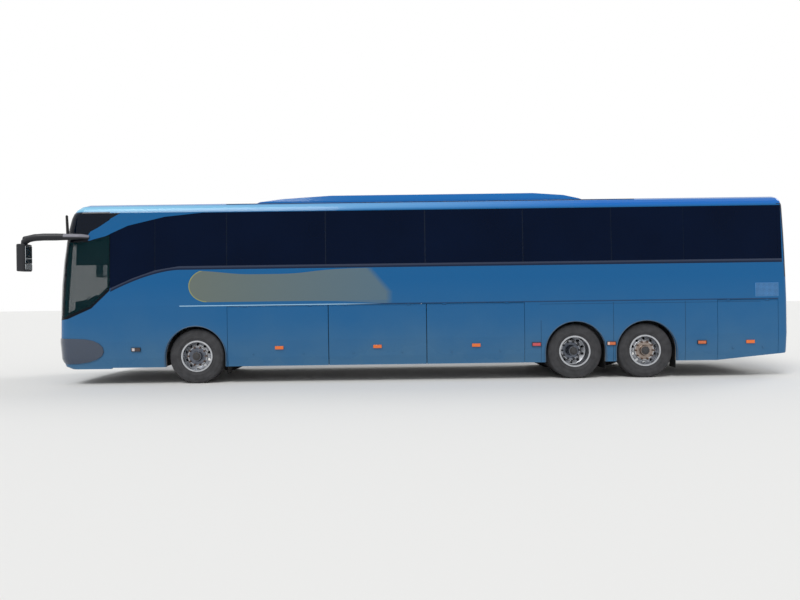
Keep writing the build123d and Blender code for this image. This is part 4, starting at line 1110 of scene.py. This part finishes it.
def makeRoofFittings():
    f = fans
    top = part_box("roof_units")[1].z
    rings, grilles, wells, gaps = [Stock() for _ in range(4)]
    for back in f["backs"]:
        place = (at(back), 0.0, top)
        rings.turned(f["ring"], place, f["steps"], "Z")
        wells.turned(f["well"], place, f["steps"], "Z")
        wells.turned(f["motor"], place, 32, "Z")
        for k in range(-f["bars"], f["bars"] + 1):
            off = k * f["pitch"]
            half = math.sqrt(f["radius"] ** 2 - off ** 2)
            grilles.box(around(at(back) + off, f["barHalf"]), (-half, half),
                        (top - f["sunk"], top + f["proud"]))
    for side in sides:
        for k in range(f["slots"]):
            gaps.box(around(at(f["slotFront"] + k * f["slotPitch"]), f["slotHalf"]),
                     [side * y for y in f["slotWide"]], around(top, f["sunk"]))
    rings.piece("fanRings", "blackTrim")
    grilles.piece("fanGrilles", "greyTrim")
    wells.piece("fanWells", "blackTrim")
    gaps.piece("fairingSlots", "blackTrim")


padShape = {"around": 20, "over": 9, "square": 0.38, "channels": 4, "channelDepth": 0.006, "waist": 0.03,
            "underCrown": -0.3, "sharp": 6, "ease": 0.3}


def pad(stock, centre, size, crown, lean=0.0, channels=True):
    # a stuffed pad: its size is across y, along its own length and through its face; lean tips it back
    p = padShape
    wide, deep, thick = size
    tip = Matrix.Rotation(math.radians(lean), 3, "Y")

    def squared(value):
        return math.copysign(abs(value) ** p["square"], value)
    rings = []
    for j in range(p["over"] + 1):
        b = -math.pi / 2 + math.pi * j / p["over"]
        level, w = squared(math.cos(b)), squared(math.sin(b))
        ring = []
        for i in range(p["around"]):
            a = 2 * math.pi * i / p["around"]
            u, v = level * squared(math.cos(a)), level * squared(math.sin(a))
            face = max(0.0, 1 - u * u) * max(0.0, 1 - v * v)
            rise = crown * face * (1 if w > 0 else p["underCrown"])
            if channels and w > 0.5:
                groove = max(0.0, math.cos(math.pi * v * p["channels"])) ** p["sharp"]
                rise -= p["channelDepth"] * groove * face ** p["ease"]
            shrink = 1 - p["waist"] * (1 - u * u) * abs(v) - p["waist"] * (1 - v * v) * abs(u)
            spot = Vector((u * deep / 2 * shrink, v * wide / 2 * shrink, w * thick / 2 + rise))
            ring.append(Vector(centre) + tip @ spot)
        rings.append(ring)
    stock.rings(rings)


# each pad: its place from the seat's foot, its size, its crown, its lean, and whether it is channelled
benches = {"first": 3.9, "pitch": 0.8, "rows": 12, "y": 0.73, "half": 0.215, "floor": 1.3, "skip": (7.5, 9.3),
           "pads": ((0.225, 0.425, (0.415, 0.44, 0.12), 0.014, 0, True),
                    (-0.012, 0.80, (0.40, 0.66, 0.10), 0.012, -101, True),
                    (-0.078, 1.075, (0.27, 0.16, 0.075), 0.008, -101, False)),
           "shell": ((-0.075, 0.36), (0.40, 0.345), (0.40, 0.375), (-0.02, 0.40), (-0.132, 1.12),
                     (-0.15, 1.115)),
           "gap": 0.005, "leg": (0.06, 0.30), "legHalf": 0.03, "legHigh": (0.001, 0.37),
           "armrest": (0.02, 0.32), "armrestWide": (-0.012, 0.022), "armrestHigh": (0.60, 0.64),
           "rail": ((-0.165, 0.98), (-0.185, 1.0)), "railInset": 0.08, "railRadius": 0.009}


def makeBenches():
    b = benches
    cushions, frames, rails = Stock(), Stock(), Stock()
    for row in range(b["rows"]):
        back = b["first"] + b["pitch"] * row
        for side in sides:
            if side < 0 and b["skip"][0] < back < b["skip"][1]:
                continue
            x, z, middle = at(back), b["floor"], side * b["y"]
            for y in around(middle, b["half"]):
                for forward, up, *shape in b["pads"]:
                    pad(cushions, (x + forward, y, z + up), *shape)
            y0, y1 = around(middle, 2 * b["half"] - b["gap"])
            frames.prism([(x + along, z + up) for along, up in b["shell"]], (y0, y1), "Y")
            frames.box([x + along for along in b["leg"]], around(middle, b["legHalf"]),
                       [z + up for up in b["legHigh"]])
            aisle = middle - side * 2 * b["half"]
            frames.box([x + along for along in b["armrest"]], [aisle + out for out in b["armrestWide"]],
                       [z + up for up in b["armrestHigh"]])
            ends = [[Vector((x + along, y, z + up)) for along, up in b["rail"]]
                    for y in (y0 + b["railInset"], y1 - b["railInset"])]
            rails.tube(ends[0] + ends[1][::-1], b["railRadius"])
    made = cushions.piece("passengerCushions", "seatMoquette", rounded)
    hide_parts("passenger_seats")
    frames.piece("passengerSeatShells", "cabinGrey", crisp, 0.006)
    rails.piece("passengerGrabRails", "brightMetal", rounded)


# places from the foot of the driver's seat
driverSeat = {"back": 1.75, "y": 0.62, "floor": 0.95,
              "pads": ((0.01, 0.47, (0.50, 0.50, 0.13), 0.016, 0, True),
                       (-0.255, 0.86, (0.48, 0.70, 0.12), 0.014, -100, True),
                       (-0.325, 1.23, (0.28, 0.18, 0.09), 0.01, -100, False)),
              "foot": (0.20, 0.18, (0.001, 0.06)), "pan": (0.24, 0.23, (0.36, 0.41)),
              "folds": (0.17, 0.15, 0.17, 0.15, 0.17), "foldLow": 0.06, "foldPitch": 0.06,
              "shell": ((-0.31, 0.38), (-0.24, 0.38), (-0.33, 1.20), (-0.37, 1.20)), "shellHalf": 0.21,
              "armrest": (-0.22, 0.10), "armrestY": 0.27, "armrestHalf": 0.025, "armrestHigh": (0.66, 0.70)}


def makeDriverPlace():
    d = driverSeat
    x, y, z = at(d["back"]), d["y"], d["floor"]
    cushions, base = Stock(), Stock()
    for forward, up, *shape in d["pads"]:
        pad(cushions, (x + forward, y, z + up), *shape)
    made = cushions.piece("driverCushions", "seatMoquette", rounded)
    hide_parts("driver_seat")
    blocks = [d["foot"], d["pan"]]
    for k, half in enumerate(d["folds"]):
        low = d["foldLow"] + k * d["foldPitch"]
        blocks.append((half, half, (low, low + d["foldPitch"])))
    for long, wide, high in blocks:
        base.box(around(x, long), around(y, wide), [z + up for up in high])
    base.prism([(x + along, z + up) for along, up in d["shell"]], around(y, d["shellHalf"]), "Y")
    for side in sides:
        base.box([x + along for along in d["armrest"]], around(y + side * d["armrestY"], d["armrestHalf"]),
                 [z + up for up in d["armrestHigh"]])
    base.piece("driverSeatBase", "blackTrim", crisp, 0.006)


dash = {"hoodBack": 0.78, "hoodHalf": 0.30, "hoodZ": 1.60, "y": 0.62, "dialsY": 0.12, "dialProud": 0.004,
        "dialUp": 0.02, "leverRadius": 0.012,
        "hood": ((0, -0.06), (0.02, 0.10), (0.12, 0.13), (0.26, 0.05), (0.26, -0.06)),
        "dial": ((0, 0), (0.078, 0), (0.078, -0.008), (0.070, -0.008), (0.068, -0.003), (0, -0.003)),
        "screens": (((0.700, 0.712), (-0.02, 0.26), (1.38, 1.53)),
                    ((0.700, 0.708), (-0.50, -0.18), (1.40, 1.50))),
        "keys": {"wide": 0.22, "high": 0.05, "columns": 8, "rows": 2, "size": (0.02, 0.016, 0.012)},
        "keysAt": (0.704, 0.12, 1.33), "lever": ((1.02, 0.30, 0.951), (1.02, 0.30, 1.28), (1.06, 0.30, 1.36)),
        "knobAt": (1.06, 0.30, 1.35),
        "knob": ((0, 0), (0.026, 0.008), (0.028, 0.04), (0.018, 0.06), (0, 0.062)),
        "pedals": (0.50, 0.68), "pedal": ((0.78, 0.75), 0.035, (1.02, 1.16)),
        "pedalArm": ((0.75, 0.66), 0.012, (1.05, 1.09))}


def makeDashDetail():
    d = dash
    hood, dials, faces, keys, lever = [Stock() for _ in range(5)]
    x = at(d["hoodBack"])
    hood.prism([(x + along, d["hoodZ"] + up) for along, up in d["hood"]], around(d["y"], d["hoodHalf"]), "Y")
    hood.piece("dashHood", "blackTrim", crisp, 0.012)
    for y in around(d["y"], d["dialsY"]):
        dials.turned(d["dial"], (x + d["dialProud"], y, d["hoodZ"] + d["dialUp"]), 32, "X")
    dials.piece("dashDials", "lampChrome")
    for screen in d["screens"]:
        faces.slab(*screen)
    faces.piece("dashScreens", "blackGloss", crisp, 0.003)
    keys.repeat("grid", "greyTrim", (math.pi / 2, 0, math.pi / 2), centre=spots([d["keysAt"]])[0],
                **d["keys"])
    keys.piece("dashKeys", "greyTrim", crisp)
    lever.tube(spots(d["lever"]), d["leverRadius"])
    lever.turned(d["knob"], spots([d["knobAt"]])[0], 16, "Z")
    for y in d["pedals"]:
        for backs, half, high in (d["pedal"], d["pedalArm"]):
            lever.slab(backs, around(y, half), high)
    lever.piece("leverAndPedals", "blackTrim", crisp)


visor = {"backs": (0.40, 1.07), "low": 2.30, "high": 2.84, "y": 1.125, "lean": 0.04, "thick": 0.004,
         "rail": ((0.84, 1.12, 2.105), (0.84, 1.150, 2.105), (1.07, 1.150, 2.105), (1.07, 1.20, 2.105)),
         "railRadius": 0.009}


def makeDriverVisors():
    # a dark visor over the top of each quarter light, and a grab rail across the driver's
    v = visor
    stock, rails = Stock(), Stock()
    for side in sides:
        foot, head, thick = side * v["y"], side * (v["y"] - v["lean"]), side * v["thick"]
        outline = [(foot, v["low"]), (foot + thick, v["low"]), (head + thick, v["high"]), (head, v["high"])]
        stock.prism(outline, [at(back) for back in v["backs"]])
    stock.piece("quarterVisors", "blackTrim", crisp)
    rails.tube(spots(v["rail"]), v["railRadius"])
    rails.piece("driverWindowRail", "brightMetal", rounded)


cabin = {"rails": (((1.06, -0.58, 0.951), (1.06, -0.58, 1.78), (1.04, -0.58, 1.82)),
                   ((2.12, -0.58, 0.951), (2.12, -0.58, 1.78), (2.14, -0.58, 1.82)),
                   ((3.30, -0.42, 1.301), (3.30, -0.42, 2.05), (3.30, -1.10, 2.05), (3.30, -1.10, 1.301)),
                   ((3.30, 0.42, 1.301), (3.30, 0.42, 2.05), (3.30, 1.10, 2.05), (3.30, 1.10, 1.301))),
         "railRadius": 0.016, "screen": ((3.296, 3.304), (0.45, 1.07), (1.42, 2.00)),
         "lights": {"wide": 8.8, "high": 0.12, "columns": 12, "rows": 2, "size": (0.07, 0.05, 0.012)},
         "lightsAt": (8.3, 0.95, 2.956), "blindDeep": (0.70, 0.72), "blindHigh": (2.96, 3.16),
         "blinds": (((0.10, 1.0), (0.06, 1.02)), ((-0.95, -0.10), (-0.97, -0.06))), "rollerAt": (0.71, 3.17),
         "rollerRadius": 0.02, "stepBacks": (2.04, 1.13), "steps": ((0.56, -0.90), (0.76, -0.74)),
         "edgeWide": (-0.012, 0.03), "edgeHigh": (-0.03, 0.004)}


def makeCabinDetail():
    c = cabin
    rails, screens, lights, blinds, edges = [Stock() for _ in range(5)]
    for path in c["rails"]:
        rails.tube(spots(path), c["railRadius"], 10)
    rails.piece("cabinRails", "brightMetal", rounded)
    backs, wide, high = c["screen"]
    for side in sides:
        screens.slab(backs, [side * y for y in wide], high)
        lights.repeat("grid", "lampGlass", (0, 0, 0), centre=spots([c["lightsAt"]], side)[0], **c["lights"])
    screens.piece("cabinScreens", "cabinGrey", crisp, 0.003)
    lights.piece("readingLights", "lampGlass", crisp)
    rollerBack, rollerZ = c["rollerAt"]
    for wide, roller in c["blinds"]:
        blinds.slab(c["blindDeep"], wide, c["blindHigh"])
        blinds.tube(spots([(rollerBack, y, rollerZ) for y in roller]), c["rollerRadius"], 10)
    blinds.piece("windscreenBlinds", "cabinGrey")
    for z, y in c["steps"]:
        edges.slab(c["stepBacks"], [y + out for out in c["edgeWide"]], [z + up for up in c["edgeHigh"]])
    edges.piece("entranceStepEdges", "stepEdge", crisp)


# the drums' outlines run from one end to the middle
under = {"shaft": ((12.45, 0, 0.70), (10.17, 0, 0.60)), "shaftRadius": 0.04,
         "joints": ((12.40, 0, 0.698), (10.24, 0, 0.603)), "joint": [(0, 0.03), (0.065, 0.03)],
         "pipe": ((13.0, 0.33, 0.52), (13.0, 0.56, 0.52), (13.25, 0.66, 0.50), (13.75, 0.66, 0.44),
                  (14.0, 0.66, 0.41)), "pipeRadius": 0.055,
         "silencer": [(0, 0.42), (0.13, 0.40), (0.14, 0.36)], "silencerAt": (12.75, 0.60, 0.60),
         "tank": [(0, 0.24), (0.09, 0.22), (0.125, 0.17)], "tanks": ((9.32, -0.60, 0.90), (9.32, 0.60, 0.90)),
         "frontTank": [(0, 0.30), (0.09, 0.28), (0.12, 0.22)],
         "frontTanks": ((1.25, 0.0, 0.60), (1.55, 0.0, 0.60))}


def makeUnderside():
    u = under
    shaft, pipe, tanks = Stock(), Stock(), Stock()
    shaft.tube(spots(u["shaft"]), u["shaftRadius"], 16)
    for place in spots(u["joints"]):
        shaft.turned(mirroredEnds(u["joint"]), place, 20, "X")
    shaft.piece("propellerShaft", "darkSteel")
    pipe.tube(spots(u["pipe"]), u["pipeRadius"], 16)
    pipe.turned(mirroredEnds(u["silencer"]), spots([u["silencerAt"]])[0], axis="X")
    pipe.piece("exhaust", "hubSteel")
    for half, places in ((u["tank"], u["tanks"]), (u["frontTank"], u["frontTanks"])):
        for place in spots(places):
            tanks.turned(mirroredEnds(half), place)
    tanks.piece("airTanks", "darkSteel")


makeCamera()
makeStudio()
dressNodes()
print("camera, studio and finishes made")
makeTyres()
dressWheels()
print("wheels dressed")
makeWaistMouldings()
makeArchLips()
makeFlapFittings()
makeMarkerBezels()
makeAprons()
makeGuttersAndShade()
makeTailCorners()
makeSideVents()
makeFrontFittings()
makeWipers()
makeMirrors()
makePlates()
makeRearFittings()
makeRoofFittings()
print("outside trim made")
makeBenches()
makeDriverPlace()
makeDashDetail()
makeDriverVisors()
makeCabinDetail()
makeUnderside()
print("inside and underside made")
